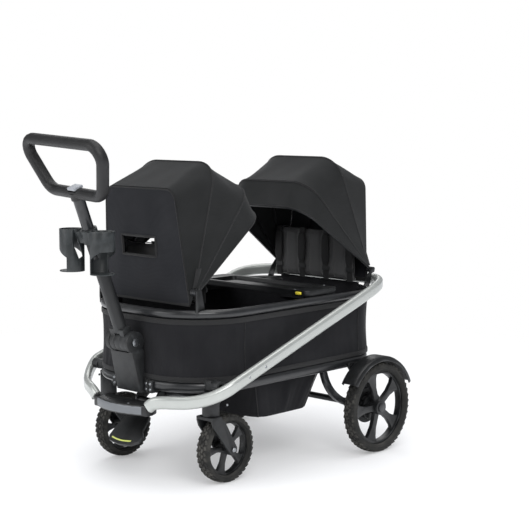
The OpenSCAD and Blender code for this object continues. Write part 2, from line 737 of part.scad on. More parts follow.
// The panel stands on a hem line behind and below the hoops' hinge.
window = [147, 209, -66, 90];
module canopy_panel(k) {
  color([0.18, 0.18, 0.20]) place() at_canopy(k) translate([hem[0], 0, hem[1]]) rotate([0, -panel_angle, 0])
    difference() {
      translate([0, 0, -1.2]) linear_extrude(2.4) polygon(concat(
        [[3, panel_y[0]], [3, -panel_y[0]]],
        [for (a = [-85:17:0]) [panel_r - 40 + 40 * cos(a), 40 - panel_y[1] + 40 * sin(a)]],
        [for (a = [0:17:85]) [panel_r - 40 + 40 * cos(a), panel_y[1] - 40 + 40 * sin(a)]]
      ));
      translate([window[0], window[2], -5]) cube([window[1] - window[0], window[3] - window[2], 10]);
    }
}
module canopy_crest(k) {
  color([0.17, 0.18, 0.17]) place() at_canopy(k) rotate([0, -crest_angle, 0]) hoop(crest_y, crest_r, 75);
}
module canopy_hoop(k) {
  color([0.17, 0.18, 0.17]) place() at_canopy(k) rotate([0, -hoop_angle, 0]) hoop(hoop_y, hoop_r, 80);
}
module canopy_visor(k) {
  color([0.17, 0.18, 0.17]) place() at_canopy(k) rotate([0, -visor_angle, 0]) hoop(visor_y, visor_r, 85);
}
module front_canopy_panel() { canopy_panel(0); }
module rear_canopy_panel() { canopy_panel(1); }
module front_canopy_crest() { canopy_crest(0); }
module rear_canopy_crest() { canopy_crest(1); }
module front_canopy_hoop() { canopy_hoop(0); }
module rear_canopy_hoop() { canopy_hoop(1); }
module front_canopy_visor() { canopy_visor(0); }
module rear_canopy_visor() { canopy_visor(1); }

// The stretched canopy fabric, as thin shells between neighbouring hoops.
function arch(half, r, corner, u) =
  let (
    arm = 150,
    arc = corner * 1.5708,
    edge = half - taper * (r - corner) / r,
    bar = edge - corner,
    s = min(u, 1 - u) * 2 * (arm + arc + bar),
    side = u < 0.5 ? 1 : -1,
    turn = (s - arm) / arc * 90,
    x = r - corner - arm + s
  )
    s < arm ? [x, side * (half - taper * x / r)]
    : s < arm + arc ? [r - corner + corner * sin(turn), side * (bar + corner * cos(turn))]
    : [r, side * (bar - (s - arm - arc))];
function turned(q, angle, at = [0, 0]) = [at[0] + q[0] * cos(angle), q[1], at[1] + q[0] * sin(angle)];
cover_steps = 24;
module cover_shell(inner_rows, outer_rows) {
  n = len(inner_rows) - 1;
  m = cover_steps;
  w = m + 1;
  c = (n + 1) * w;
  faces = concat(
    [for (i = [0:n - 1], j = [0:m - 1]) [i * w + j, i * w + j + 1, (i + 1) * w + j + 1]],
    [for (i = [0:n - 1], j = [0:m - 1]) [i * w + j, (i + 1) * w + j + 1, (i + 1) * w + j]],
    [for (i = [0:n - 1], j = [0:m - 1]) [c + i * w + j, c + (i + 1) * w + j + 1, c + i * w + j + 1]],
    [for (i = [0:n - 1], j = [0:m - 1]) [c + i * w + j, c + (i + 1) * w + j, c + (i + 1) * w + j + 1]],
    [for (i = [0:n - 1]) each side_faces(i * w, (i + 1) * w, c)],
    [for (i = [0:n - 1]) each side_faces((i + 1) * w + m, i * w + m, c)],
    [for (j = [0:m - 1]) each side_faces(j + 1, j, c)],
    [for (j = [0:m - 1]) each side_faces(n * w + j, n * w + j + 1, c)]
  );
  polyhedron(concat([for (row = outer_rows) each row], [for (row = inner_rows) each row]), flipped(faces), convexity = 6);
}
function row_of(half, r, corner, angle, at = [0, 0]) =
  [for (j = [0:cover_steps]) turned(arch(half, r, corner, j / cover_steps), angle, at)];
module canopy_roof(k) {
  color([0.17, 0.18, 0.17]) place() at_canopy(k) cover_shell(
    [row_of(panel_y[1] + taper + 4, panel_r + 4, 40, panel_angle - 0.8, hem), row_of(crest_y + 5.5, crest_r + 5.5, 75, crest_angle + 1.2)],
    [row_of(panel_y[1] + taper + 6, panel_r + 6, 40, panel_angle - 0.8, hem), row_of(crest_y + 7.5, crest_r + 7.5, 75, crest_angle + 1.2)]
  );
}
module canopy_cover(k) {
  color([0.17, 0.18, 0.17]) place() at_canopy(k) cover_shell(
    [row_of(crest_y + 5.5, crest_r + 5.5, 75, crest_angle - 1.2), row_of(hoop_y + 6, hoop_r + 7, 80, hoop_angle)],
    [row_of(crest_y + 7.5, crest_r + 7.5, 75, crest_angle - 1.2), row_of(hoop_y + 8, hoop_r + 9, 80, hoop_angle)]
  );
}
module front_canopy_roof() { canopy_roof(0); }
module rear_canopy_roof() { canopy_roof(1); }
module front_canopy_cover() { canopy_cover(0); }
module rear_canopy_cover() { canopy_cover(1); }

// Upright plates on the rim with the canopies' hinge pins.
mount_y = 224;
module canopy_mounts() {
  color([0.45, 0.46, 0.47]) place()
    both() for (k = [0, 1])
      difference() {
        union() {
          at_canopy(k) {
            translate([0, mount_y + 5, 0]) rotate([90, 0, 0]) linear_extrude(5)
              polygon(k == 0
                ? [[-9, 6], [-4, 10], [6, 10], [12, 4], [24, -50], [34, -71.9], [-8, -71.9], [-10, -50]]
                : [[-9, 4], [-5, 9], [5, 9], [10, 3], [32, -20], [57, -70.8], [28, -70.8], [13, -34], [8, -11], [-6, -8]]);
            translate([0, crest_y - 6, 0]) rotate([-90, 0, 0]) cylinder(r = canopy_pin_r, h = mount_y - crest_y + 10, $fn = 40);
          }
        }
        rim_loop(2 * clear);
      }
}

// Handle parts are drawn upright about the hinge, then leaned forward.
module at_handle() { translate([knuckle_x, 0, knuckle_z]) rotate([0, -handle_lean, 0]) children(); }
hub_half = 12;
cheek_in = 12.3;
cheek_out = 35;
module handle_hub() {
  color([0.13, 0.13, 0.14]) place() at_handle()
    difference() {
      rotate([90, 0, 0]) cylinder(r = 33, h = 2 * hub_half, center = true, $fn = 64);
      rotate([90, 0, 0]) cylinder(r = pin_r + fit, h = 40, center = true, $fn = 48);
    }
}

upper_d = 36;
collar_z = [340, 385];
grip_h = 164;
module handle_lower_tube() {
  color([0.14, 0.15, 0.15]) place() at_handle()
    difference() {
      union() {
        both() translate([0, cheek_out, 0]) rotate([90, 0, 0]) cylinder(r = 33, h = cheek_out - cheek_in, $fn = 64);
        both() translate([-19, cheek_in, 0]) cube([38, cheek_out - cheek_in - 3, 42]);
        translate([-19, -cheek_out + 3, 35]) cube([38, 2 * cheek_out - 6, 14]);
        cylinder_z(lower_tube_d / 2, 44, collar_z[1]);
      }
      rotate([90, 0, 0]) cylinder(r = 34, h = 2 * cheek_in, center = true, $fn = 64);
      rotate([90, 0, 0]) cylinder(r = pin_r + fit, h = 90, center = true, $fn = 48);
      cylinder_z(upper_d / 2 + fit, 150, collar_z[1] + 1);
      translate([0, 60, 0]) rotate([90, 0, 0]) linear_extrude(120)
        polygon([[15, 29.3], [11.5, 35], [11.5, 62], [21, 71], [60, 80], [60, 18], [25, 22]]);
    }
}

handle_upper_top = handle_len - grip_h - 19;
module handle_upper_tube() {
  color([0.12, 0.13, 0.13]) place() at_handle() difference() {
    cylinder_z(upper_d / 2, 240, handle_upper_top);
    cylinder_z(upper_d / 2 - 3, 239, handle_upper_top - 6);
  }
}

// Two cup rings with open sides on a bracket behind the handle's collar.
cup_h = 130;
cup_ring_h = 60;
cup_x = -655;
cup_y = 72;
cup_z = 667;
module cup_holders() {
  wall = 3;
  color([0.20, 0.22, 0.23]) place()
    difference() {
      union() {
        at_handle() {
          cylinder_z(lower_tube_d / 2 + 5, collar_z[0], collar_z[1] - 2);
          both() translate([-22, 12, collar_z[0] + 4]) cube([20, 30, 36]);
        }
        both() translate([cup_x, cup_y, cup_z]) difference() {
          cylinder(d = cup_d + 2 * wall, h = cup_h, $fn = 72);
          translate([0, 0, wall]) cylinder(d = cup_d, h = cup_h, $fn = 72);
          translate([-60, 0, 0]) rotate([90, 0, 90]) linear_extrude(120)
            polygon([[-16, wall], [60, wall], [60, cup_h - cup_ring_h], [24, cup_h - cup_ring_h], [-16, 44]]);
        }
      }
      at_handle() cylinder_z(lower_tube_d / 2, 300, 420);
      at_handle() both() translate([-42, 11, collar_z[0] - 40]) cube([18, 30, 130]);
    }
}

// The grip: a rounded trapezoid of tube with its wide side on top.
grip_top = 226;
grip_low = 140;
grip_section = [38, 34];
module grip_bar(a, b) {
  d = b - a;
  translate([a[0], a[1], 0]) rotate([0, 0, atan2(d[1], d[0])]) rotate([90, 0, 90])
    linear_extrude(norm(d)) polygon(oval(grip_section[1], grip_section[0], 20));
}
module grip_loop() {
  slant = atan2(grip_top - grip_low, grip_h);
  r_top = 42;
  r_low = 52;
  c_top = [grip_top - r_top * tan(45 + slant / 2), handle_len - r_top];
  c_low = [grip_low - r_low * tan(45 - slant / 2), handle_len - grip_h + r_low];
  top_arc = [for (a = [90:-10:-slant]) [c_top[0] + r_top * cos(a), c_top[1] + r_top * sin(a)]];
  low_arc = [for (a = [-slant:-10:-90]) [c_low[0] + r_low * cos(a), c_low[1] + r_low * sin(a)]];
  end = [[c_low[0], c_low[1] - r_low]];
  half = concat([[0, handle_len]], top_arc, low_arc, end, [[0, c_low[1] - r_low]]);
  other = [for (i = [len(half) - 2:-1:0]) [-half[i][0], half[i][1]]];
  path = concat(half, other);
  color([0.06, 0.06, 0.06]) place() at_handle() rotate([0, 0, -grip_yaw])
    difference() {
      union() {
        rotate([0, 0, 90]) rotate([90, 0, 0]) flat_ring(path);
        cylinder_z(22, handle_upper_top + 0.5, handle_upper_top + 22);
      }
      translate([-20, -20.3, handle_len - grip_h + 9.2]) cube([40, 40.6, 14]);
    }
}
// A closed ring of oval section along a flat path whose last point repeats the first.
module flat_ring(path) {
  section = oval(grip_section[1], grip_section[0], 16);
  n = len(section);
  m = len(path) - 1;
  rings = [
    for (i = [0:m - 1])
      let (
        t = unit(path[i + 1] - path[(i + m - 1) % m]),
        s = [t[1], -t[0]]
      )
        for (q = section) [path[i][0] + s[0] * q[0], path[i][1] + s[1] * q[0], q[1]]
  ];
  faces = [
    for (i = [0:m - 1], j = [0:n - 1])
      let (i2 = (i + 1) % m, j2 = (j + 1) % n)
        [i * n + j, i * n + j2, i2 * n + j2, i2 * n + j]
  ];
  polyhedron(rings, faces, convexity = 6);
}

module grip_button() {
  color([0.58, 0.60, 0.62]) place() at_handle() rotate([0, 0, -grip_yaw])
    translate([-17, -20, handle_len - grip_h + 13.5]) cube([34, 40, 9]);
}

lower_frame();
floor_panel();
cross_tubes();
front_post();
post_clamps();
knuckle_pin();
caster_housings();
rear_axle();
axle_struts();
brake_housings();
fenders();
basket();
tray_wall();
fold_brackets();
pedal_bracket();
seat_cushions();
caster_fork_left();
caster_fork_right();
front_tyre_left();
front_tyre_right();
front_rim_left();
front_rim_right();
rear_tyre_left();
rear_tyre_right();
rear_rim_left();
rear_rim_right();
brake_pedal();
brake_pawls();
side_tubes();
rear_bend();
side_hinges();
front_bumper();
scissor_bars();
top_rim();
snack_tray();
canopy_mounts();
tray_button_left();
tray_button_right();
rear_seat_back();
rear_harness();
front_seat_back();
front_harness();
front_canopy_panel();
front_canopy_crest();
front_canopy_hoop();
front_canopy_visor();
rear_canopy_panel();
rear_canopy_crest();
rear_canopy_hoop();
rear_canopy_visor();
front_canopy_roof();
rear_canopy_roof();
front_canopy_cover();
rear_canopy_cover();
handle_hub();
handle_lower_tube();
cup_holders();
handle_upper_tube();
grip_loop();
grip_button();
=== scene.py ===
import bpy
import bmesh
import json
import math
import random
import numpy as np
from mathutils import Vector, Matrix


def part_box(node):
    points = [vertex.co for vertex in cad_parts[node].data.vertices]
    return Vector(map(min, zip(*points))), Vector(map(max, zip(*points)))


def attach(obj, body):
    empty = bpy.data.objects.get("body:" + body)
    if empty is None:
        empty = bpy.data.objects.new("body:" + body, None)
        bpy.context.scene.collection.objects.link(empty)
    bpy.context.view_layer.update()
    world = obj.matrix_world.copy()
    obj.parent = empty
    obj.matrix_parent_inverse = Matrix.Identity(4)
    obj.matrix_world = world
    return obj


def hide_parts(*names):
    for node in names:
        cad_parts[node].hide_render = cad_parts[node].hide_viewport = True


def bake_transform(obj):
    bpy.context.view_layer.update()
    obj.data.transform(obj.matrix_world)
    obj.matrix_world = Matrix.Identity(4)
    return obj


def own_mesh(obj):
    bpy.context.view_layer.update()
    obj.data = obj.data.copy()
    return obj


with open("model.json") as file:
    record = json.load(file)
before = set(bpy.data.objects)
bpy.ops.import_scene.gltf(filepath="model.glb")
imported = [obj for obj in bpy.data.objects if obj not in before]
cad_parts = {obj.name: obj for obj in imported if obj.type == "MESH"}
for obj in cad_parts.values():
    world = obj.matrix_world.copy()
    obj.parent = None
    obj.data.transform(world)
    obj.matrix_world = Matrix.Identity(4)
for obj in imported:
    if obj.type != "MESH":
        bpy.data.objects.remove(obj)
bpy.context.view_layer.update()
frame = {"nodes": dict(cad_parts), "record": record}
print("stage: frame loaded")

originX = (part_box("front_tyre_left")[0][0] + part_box("front_tyre_left")[1][0]) * 500 + 313


def at(x, y, z):
    return Vector(((x + originX) / 1000, y / 1000, z / 1000))


# camera, floor and light

cameraSettings = {"azimuth": -46.6, "elevation": 6.5, "distance": 4.6735, "target": at(121.3, 0, 627.7),
    "lens": 92.82}


def makeCamera(s):
    data = bpy.data.cameras.new("studioCamera")
    data.lens = s["lens"]
    data.sensor_width = 36
    data.clip_end = 100
    cam = bpy.data.objects.new("studioCamera", data)
    bpy.context.scene.collection.objects.link(cam)
    az, el = math.radians(s["azimuth"]), math.radians(s["elevation"])
    back = Vector((math.sin(az) * math.cos(el), -math.cos(az) * math.cos(el), math.sin(el)))
    cam.location = s["target"] + back * s["distance"]
    cam.rotation_euler = back.to_track_quat("Z", "Y").to_euler()
    bpy.context.scene.camera = cam


makeCamera(cameraSettings)

studioSettings = {"floorSize": 40, "floorGlow": 0.28, "key": 104, "fill": 60, "rim": 30, "world": 0.8,
    "mirrored": 0.28}


def areaLight(name, place, aim, size, power):
    data = bpy.data.lights.new(name, "AREA")
    data.size = size
    data.energy = power
    lamp = bpy.data.objects.new(name, data)
    lamp.location = place
    lamp.rotation_euler = (Vector(place) - Vector(aim)).to_track_quat("Z", "Y").to_euler()
    bpy.context.scene.collection.objects.link(lamp)


def splitBy(nodes, links, path, kind, plain, seen):
    # one shader for a kind of ray, the other for the rest
    mix = nodes.new("ShaderNodeMixShader")
    links.new(path.outputs[kind], mix.inputs[0])
    links.new(plain, mix.inputs[1])
    links.new(seen, mix.inputs[2])
    return mix.outputs[0]


def makeStudio(s):
    scene = bpy.context.scene
    scene.view_settings.view_transform = "Standard"
    world = bpy.data.worlds.new("studioWorld")
    scene.world = world
    world.use_nodes = True
    nodes, links = world.node_tree.nodes, world.node_tree.links
    nodes.clear()
    plain = nodes.new("ShaderNodeBackground")
    plain.inputs[0].default_value = (0.93, 0.95, 1, 1)
    plain.inputs[1].default_value = s["world"]
    seen = nodes.new("ShaderNodeBackground")
    seen.inputs[0].default_value = (1, 1, 1, 1)
    mirrored = nodes.new("ShaderNodeBackground")
    mirrored.inputs[0].default_value = (0.95, 0.97, 1, 1)
    mirrored.inputs[1].default_value = s["mirrored"]
    path = nodes.new("ShaderNodeLightPath")
    lit = splitBy(nodes, links, path, "Is Glossy Ray", plain.outputs[0], mirrored.outputs[0])
    out = nodes.new("ShaderNodeOutputWorld")
    links.new(splitBy(nodes, links, path, "Is Camera Ray", lit, seen.outputs[0]), out.inputs[0])
    half = s["floorSize"] / 2
    mesh = bpy.data.meshes.new("studioFloor")
    mesh.from_pydata([(-half, -half, 0), (half, -half, 0), (half, half, 0), (-half, half, 0)], [],
        [(0, 1, 2, 3)])
    floor = bpy.data.objects.new("studioFloor", mesh)
    scene.collection.objects.link(floor)
    material = bpy.data.materials.new("paleFloor")
    material.use_nodes = True
    shader = material.node_tree.nodes["Principled BSDF"]
    shader.inputs["Base Color"].default_value = (0.97, 0.97, 0.97, 1)
    shader.inputs["Roughness"].default_value = 0.6
    shader.inputs["Specular IOR Level"].default_value = 0.2
    # far from the wagon the floor fades into the white behind it
    nodes, links = material.node_tree.nodes, material.node_tree.links
    coords = nodes.new("ShaderNodeTexCoord")
    reach = nodes.new("ShaderNodeVectorMath")
    reach.operation = "LENGTH"
    fade = nodes.new("ShaderNodeMapRange")
    fade.inputs[1].default_value, fade.inputs[2].default_value = 0.7, 2.8
    glow = nodes.new("ShaderNodeEmission")
    both = nodes.new("ShaderNodeMixShader")
    links.new(coords.outputs["Object"], reach.inputs[0])
    links.new(reach.outputs["Value"], fade.inputs[0])
    fade.inputs[3].default_value = s["floorGlow"]
    path = nodes.new("ShaderNodeLightPath")
    camera = nodes.new("ShaderNodeMath")
    camera.operation = "MULTIPLY"
    links.new(fade.outputs[0], camera.inputs[0])
    links.new(path.outputs["Is Camera Ray"], camera.inputs[1])
    links.new(camera.outputs[0], both.inputs[0])
    links.new(shader.outputs[0], both.inputs[1])
    links.new(glow.outputs[0], both.inputs[2])
    links.new(both.outputs[0], nodes["Material Output"].inputs[0])
    mesh.materials.append(material)
    middle = (0, 0, 0.5)
    areaLight("keyLight", (-2.2, -3.4, 3.4), middle, 2.6, s["key"])
    areaLight("fillLight", (-4.0, 1.6, 2.2), middle, 3.0, s["fill"])
    areaLight("rimLight", (2.6, 2.8, 3.0), middle, 2.4, s["rim"])
    areaLight("topLight", (0.2, -0.3, 4.2), middle, 3.0, s["fill"])


makeStudio(studioSettings)
print("stage: studio ready")

# shared shader groups


def newGroup(name, inputs, outputs):
    tree = bpy.data.node_groups.new(name, "ShaderNodeTree")
    for label, kind, value in inputs:
        socket = tree.interface.new_socket(name=label, in_out="INPUT", socket_type=kind)
        socket.default_value = value
    for label, kind in outputs:
        tree.interface.new_socket(name=label, in_out="OUTPUT", socket_type=kind)
    return tree, tree.nodes.new("NodeGroupInput"), tree.nodes.new("NodeGroupOutput")


def math1(tree, operation, a, b=None, clamp=False):
    node = tree.nodes.new("ShaderNodeMath")
    node.operation = operation
    node.use_clamp = clamp
    for i, v in enumerate((a, b)):
        if v is None:
            continue
        if isinstance(v, (int, float)):
            node.inputs[i].default_value = v
        else:
            tree.links.new(v, node.inputs[i])
    return node.outputs[0]


def mixColor(tree, factor, a, b, blend="MIX"):
    node = tree.nodes.new("ShaderNodeMix")
    node.data_type = "RGBA"
    node.blend_type = blend
    for i, v in ((0, factor), (6, a), (7, b)):
        if isinstance(v, (int, float)):
            node.inputs[i].default_value = v
        elif isinstance(v, tuple):
            node.inputs[i].default_value = v
        else:
            tree.links.new(v, node.inputs[i])
    return node.outputs[2]


def noise(tree, vector, scale, detail=3.0, rough=0.55):
    node = tree.nodes.new("ShaderNodeTexNoise")
    tree.links.new(vector, node.inputs["Vector"])
    if isinstance(scale, (int, float)):
        node.inputs["Scale"].default_value = scale
    else:
        tree.links.new(scale, node.inputs["Scale"])
    node.inputs["Detail"].default_value = detail
    node.inputs["Roughness"].default_value = rough
    return node.outputs["Fac"]


def ramp(tree, value, low, high):
    node = tree.nodes.new("ShaderNodeMapRange")
    node.clamp = True
    tree.links.new(value, node.inputs[0])
    node.inputs[1].default_value = low
    node.inputs[2].default_value = high
    return node.outputs[0]


def clothGroup():
    # plain weave: crossing threads along the three axes, with slow fading and a few paler flecks
    tree, start, end = newGroup("clothWeave",
        [("Vector", "NodeSocketVector", (0, 0, 0)), ("Tone", "NodeSocketColor", (0.05, 0.05, 0.05, 1)),
         ("Threads", "NodeSocketFloat", 900.0), ("Fade", "NodeSocketFloat", 0.25)],
        [("Color", "NodeSocketColor"), ("Roughness", "NodeSocketFloat"), ("Height", "NodeSocketFloat")])
    vector = start.outputs["Vector"]
    parts = tree.nodes.new("ShaderNodeSeparateXYZ")
    tree.links.new(vector, parts.inputs[0])
    waves = []
    for i in range(3):
        turned = math1(tree, "MULTIPLY", parts.outputs[i], start.outputs["Threads"])
        waves.append(math1(tree, "SINE", math1(tree, "MULTIPLY", turned, 6.2832)))
    threads = math1(tree, "ADD", math1(tree, "ADD", waves[0], waves[1]), waves[2])
    woven = ramp(tree, threads, -2.2, 2.2)
    slow = noise(tree, vector, 7.0, 4.0)
    fleck = ramp(tree, noise(tree, vector, 1400.0, 2.0), 0.62, 0.8)
    shade = math1(tree, "MULTIPLY", ramp(tree, slow, 0.3, 0.75), start.outputs["Fade"])
    paler = mixColor(tree, shade, start.outputs["Tone"], (0.05, 0.05, 0.052, 1))
    lines = mixColor(tree, math1(tree, "MULTIPLY", woven, 0.1), paler, (0.0, 0.0, 0.0, 1))
    tree.links.new(mixColor(tree, math1(tree, "MULTIPLY", fleck, 0.16), lines, (0.12, 0.12, 0.12, 1)),
        end.inputs["Color"])
    tree.links.new(math1(tree, "ADD", math1(tree, "MULTIPLY", woven, 0.05), 0.78), end.inputs["Roughness"])
    tree.links.new(math1(tree, "ADD", woven, math1(tree, "MULTIPLY", slow, 1.5)), end.inputs["Height"])
    return tree


def wearGroup():
    # rubbed edges, fine grain and a little dust on what faces up
    tree, start, end = newGroup("handledSurface",
        [("Vector", "NodeSocketVector", (0, 0, 0)), ("Tone", "NodeSocketColor", (0.1, 0.1, 0.1, 1)),
         ("Worn", "NodeSocketColor", (0.3, 0.3, 0.3, 1)), ("Grain", "NodeSocketFloat", 900.0),
         ("Wear", "NodeSocketFloat", 0.4), ("Dust", "NodeSocketFloat", 0.15), ("Rough", "NodeSocketFloat",
         0.4)],
        [("Color", "NodeSocketColor"), ("Roughness", "NodeSocketFloat"), ("Height", "NodeSocketFloat")])
    vector = start.outputs["Vector"]
    geometry = tree.nodes.new("ShaderNodeNewGeometry")
    normal = tree.nodes.new("ShaderNodeSeparateXYZ")
    tree.links.new(geometry.outputs["Normal"], normal.inputs[0])
    edge = ramp(tree, geometry.outputs["Pointiness"], 0.52, 0.62)
    patch = noise(tree, vector, 35.0, 5.0)
    rubbed = math1(tree, "MULTIPLY", math1(tree, "MULTIPLY", edge, ramp(tree, patch, 0.4, 0.6)),
        start.outputs["Wear"])
    facing = ramp(tree, normal.outputs[2], 0.35, 1.0)
    drift = math1(tree, "MULTIPLY", math1(tree, "MULTIPLY", facing,
        ramp(tree, noise(tree, vector, 12.0, 6.0), 0.4, 0.8)),
                  start.outputs["Dust"])
    grain = noise(tree, vector, start.outputs["Grain"], 2.0)
    tone = mixColor(tree, math1(tree, "MULTIPLY", ramp(tree, patch, 0.3, 0.7), 0.07), start.outputs["Tone"],
        start.outputs["Worn"])
    tone = mixColor(tree, rubbed, tone, start.outputs["Worn"])
    tree.links.new(mixColor(tree, drift, tone, (0.42, 0.40, 0.37, 1)), end.inputs["Color"])
    rough = math1(tree, "ADD", start.outputs["Rough"],
        math1(tree, "MULTIPLY", math1(tree, "SUBTRACT", patch, 0.5), 0.18))
    tree.links.new(math1(tree, "ADD", rough, math1(tree, "MULTIPLY", drift, 0.6), True),
        end.inputs["Roughness"])
    tree.links.new(grain, end.inputs["Height"])
    return tree


clothTree, wearTree = clothGroup(), wearGroup()
materials = {}


def srgb(code):
    parts = [int(code[i:i + 2], 16) / 255 for i in (1, 3, 5)]
    return tuple(v / 12.92 if v <= 0.04045 else ((v + 0.055) / 1.055) ** 2.4 for v in parts) + (1.0,)


def makeMaterial(name, kind, tone, sockets=None, bump=0.2, step=0.0004, stretch=(1, 1, 1), **values):
    material = bpy.data.materials.new(name)
    material.use_nodes = True
    tree = material.node_tree
    shader = tree.nodes["Principled BSDF"]
    place = tree.nodes.new("ShaderNodeTexCoord")
    mapping = tree.nodes.new("ShaderNodeMapping")
    mapping.inputs["Scale"].default_value = stretch
    tree.links.new(place.outputs["Object"], mapping.inputs["Vector"])
    group = tree.nodes.new("ShaderNodeGroup")
    group.node_tree = clothTree if kind == "cloth" else wearTree
    tree.links.new(mapping.outputs["Vector"], group.inputs["Vector"])
    group.inputs["Tone"].default_value = srgb(tone)
    for label, value in values.items():
        group.inputs[label].default_value = srgb(value) if isinstance(value, str) else value
    tree.links.new(group.outputs["Color"], shader.inputs["Base Color"])
    tree.links.new(group.outputs["Roughness"], shader.inputs["Roughness"])
    raised = tree.nodes.new("ShaderNodeBump")
    raised.inputs["Strength"].default_value = bump
    raised.inputs["Distance"].default_value = step
    tree.links.new(group.outputs["Height"], raised.inputs["Height"])
    tree.links.new(raised.outputs["Normal"], shader.inputs["Normal"])
    for label, value in (sockets or {}).items():
        shader.inputs[label].default_value = value
    material.diffuse_color = srgb(tone)
    materials[name] = material
    return material


softSheen = {"Sheen Weight": 0.06, "Sheen Roughness": 0.5, "Specular IOR Level": 0.15}
makeMaterial("tubCloth", "cloth", "#151518", softSheen, 0.2, 0.0006, Threads=520.0, Fade=0.16)
makeMaterial("canopyCloth", "cloth", "#1B1C1C", softSheen, 0.22, 0.0006, Threads=560.0, Fade=0.2)
makeMaterial("panelCloth", "cloth", "#1D1E22", softSheen, 0.22, 0.0006, Threads=560.0, Fade=0.2)
makeMaterial("seatCloth", "cloth", "#4A4A4A", {"Sheen Weight": 0.35, "Sheen Roughness": 0.4}, 0.5, 0.0008,
    Threads=430.0, Fade=0.3)
makeMaterial("strapWebbing", "cloth", "#0F0F10", {"Sheen Weight": 0.1}, 0.6, 0.0008, (1, 1, 0.4),
    Threads=620.0, Fade=0.08)
makeMaterial("bindingTape", "cloth", "#101011", {"Sheen Weight": 0.1}, 0.5, 0.0005, Threads=700.0, Fade=0.05)
makeMaterial("silverPaint", "hard", "#B6B9B5", {"Metallic": 0.55, "Coat Weight": 0.25,
    "Coat Roughness": 0.25}, 0.05, 0.0001,
             Worn="#E4E6E3", Grain=1800.0, Wear=0.3, Dust=0.05, Rough=0.33)
makeMaterial("blackPaint", "hard", "#131416", {"Coat Weight": 0.35, "Coat Roughness": 0.2}, 0.08, 0.0002,
             Worn="#4A4C50", Grain=1500.0, Wear=0.25, Dust=0.06, Rough=0.34)
makeMaterial("bracketNylon", "hard", "#151617", None, 0.3, 0.0003, Worn="#55585A", Grain=1100.0, Wear=0.35,
    Dust=0.03, Rough=0.5)
makeMaterial("blackPlastic", "hard", "#101112", None, 0.25, 0.0003, Worn="#46484A", Grain=1300.0, Wear=0.35,
    Dust=0.03, Rough=0.36)
makeMaterial("cupPlastic", "hard", "#1D2122", None, 0.2, 0.0002, Worn="#6B7174", Grain=1200.0, Wear=0.3,
    Dust=0.03, Rough=0.42)
makeMaterial("tyreRubber", "hard", "#232322", {"Specular IOR Level": 0.3}, 0.5, 0.0006, Worn="#55534E",
    Grain=500.0, Wear=0.6,
             Dust=0.2, Rough=0.78)
makeMaterial("pinSteel", "hard", "#9A9DA0", {"Metallic": 1.0}, 0.1, 0.0001, (1, 1, 12), Worn="#C8CACC",
    Grain=700.0, Wear=0.4,
             Dust=0.03, Rough=0.3)
makeMaterial("gripRubber", "hard", "#0D0D0E", None, 0.45, 0.0004, Worn="#2C2C2D", Grain=1600.0, Wear=0.5,
    Dust=0.03, Rough=0.48)
makeMaterial("greyPlastic", "hard", "#94979C", None, 0.2, 0.0002, Worn="#B9BCC0", Grain=1200.0, Wear=0.4,
    Dust=0.05, Rough=0.42)
makeMaterial("yellowPlastic", "hard", "#F0DC3C", {"Coat Weight": 0.3}, 0.15, 0.0002, Worn="#F7EC8A",
    Grain=1200.0, Wear=0.3,
             Dust=0.02, Rough=0.35)
makeMaterial("limePlastic", "hard", "#C9D26A", None, 0.2, 0.0002, Worn="#DDE49A", Grain=1200.0, Wear=0.3,
    Dust=0.03, Rough=0.45)
print("stage: materials made")

# mesh helpers


def meshPiece(name, points, faces, material, body=None, slotName=None, smooth=True, nodes=()):
    mesh = bpy.data.meshes.new(name)
    mesh.from_pydata([tuple(p) for p in points], [], faces)
    mesh.materials.append(materials[material])
    piece = bpy.data.objects.new(name, mesh)
    bpy.context.scene.collection.objects.link(piece)
    mesh.polygons.foreach_set("use_smooth", [smooth] * len(mesh.polygons))
    mesh.update()
    if nodes:
        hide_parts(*nodes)
    if body:
        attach(piece, body)
    return piece


def mended(piece, merge=0.00005):
    # merges doubles and turns every face outwards
    bm = bmesh.new()
    bm.from_mesh(piece.data)
    bmesh.ops.remove_doubles(bm, verts=bm.verts, dist=merge)
    bmesh.ops.recalc_face_normals(bm, faces=bm.faces)
    bm.to_mesh(piece.data)
    bm.free()
    return piece


def sharpen(mesh, angle=35):
    # smooth shading that keeps edges sharper than the angle
    bm = bmesh.new()
    bm.from_mesh(mesh)
    limit = math.radians(angle)
    for edge in bm.edges:
        edge.smooth = len(edge.link_faces) == 2 and edge.calc_face_angle(0) < limit
    for face in bm.faces:
        face.smooth = True
    bm.to_mesh(mesh)
    bm.free()


def applied(piece):
    # the piece with its modifiers made real
    graph = bpy.context.evaluated_depsgraph_get()
    mesh = bpy.data.meshes.new_from_object(piece.evaluated_get(graph))
    piece.modifiers.clear()
    piece.data = mesh
    return piece


def finishNode(node, material, bevel=0.0012, segments=2, angle=28, merge=0.00002):
    # a welded copy of a CAD node with rounded edges, which stands for it
    source = frame["nodes"][node]
    bm = bmesh.new()
    bm.from_mesh(source.data)
    bmesh.ops.remove_doubles(bm, verts=bm.verts, dist=merge)
    bmesh.ops.dissolve_limit(bm, angle_limit=math.radians(0.6), verts=bm.verts, edges=bm.edges)
    mesh = bpy.data.meshes.new(node + "Finished")
    bm.to_mesh(mesh)
    bm.free()
    piece = bpy.data.objects.new(node + "Finished", mesh)
    bpy.context.scene.collection.objects.link(piece)
    mesh.materials.clear()
    mesh.materials.append(materials[material])
    if bevel:
        mod = piece.modifiers.new("edges", "BEVEL")
        mod.width = bevel
        mod.segments = segments
        mod.limit_method = "ANGLE"
        mod.angle_limit = math.radians(angle)
        mod.use_clamp_overlap = True
        applied(piece)
    sharpen(piece.data, 38)
    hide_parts(node)
    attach(piece, bodyOf[node])
    return piece


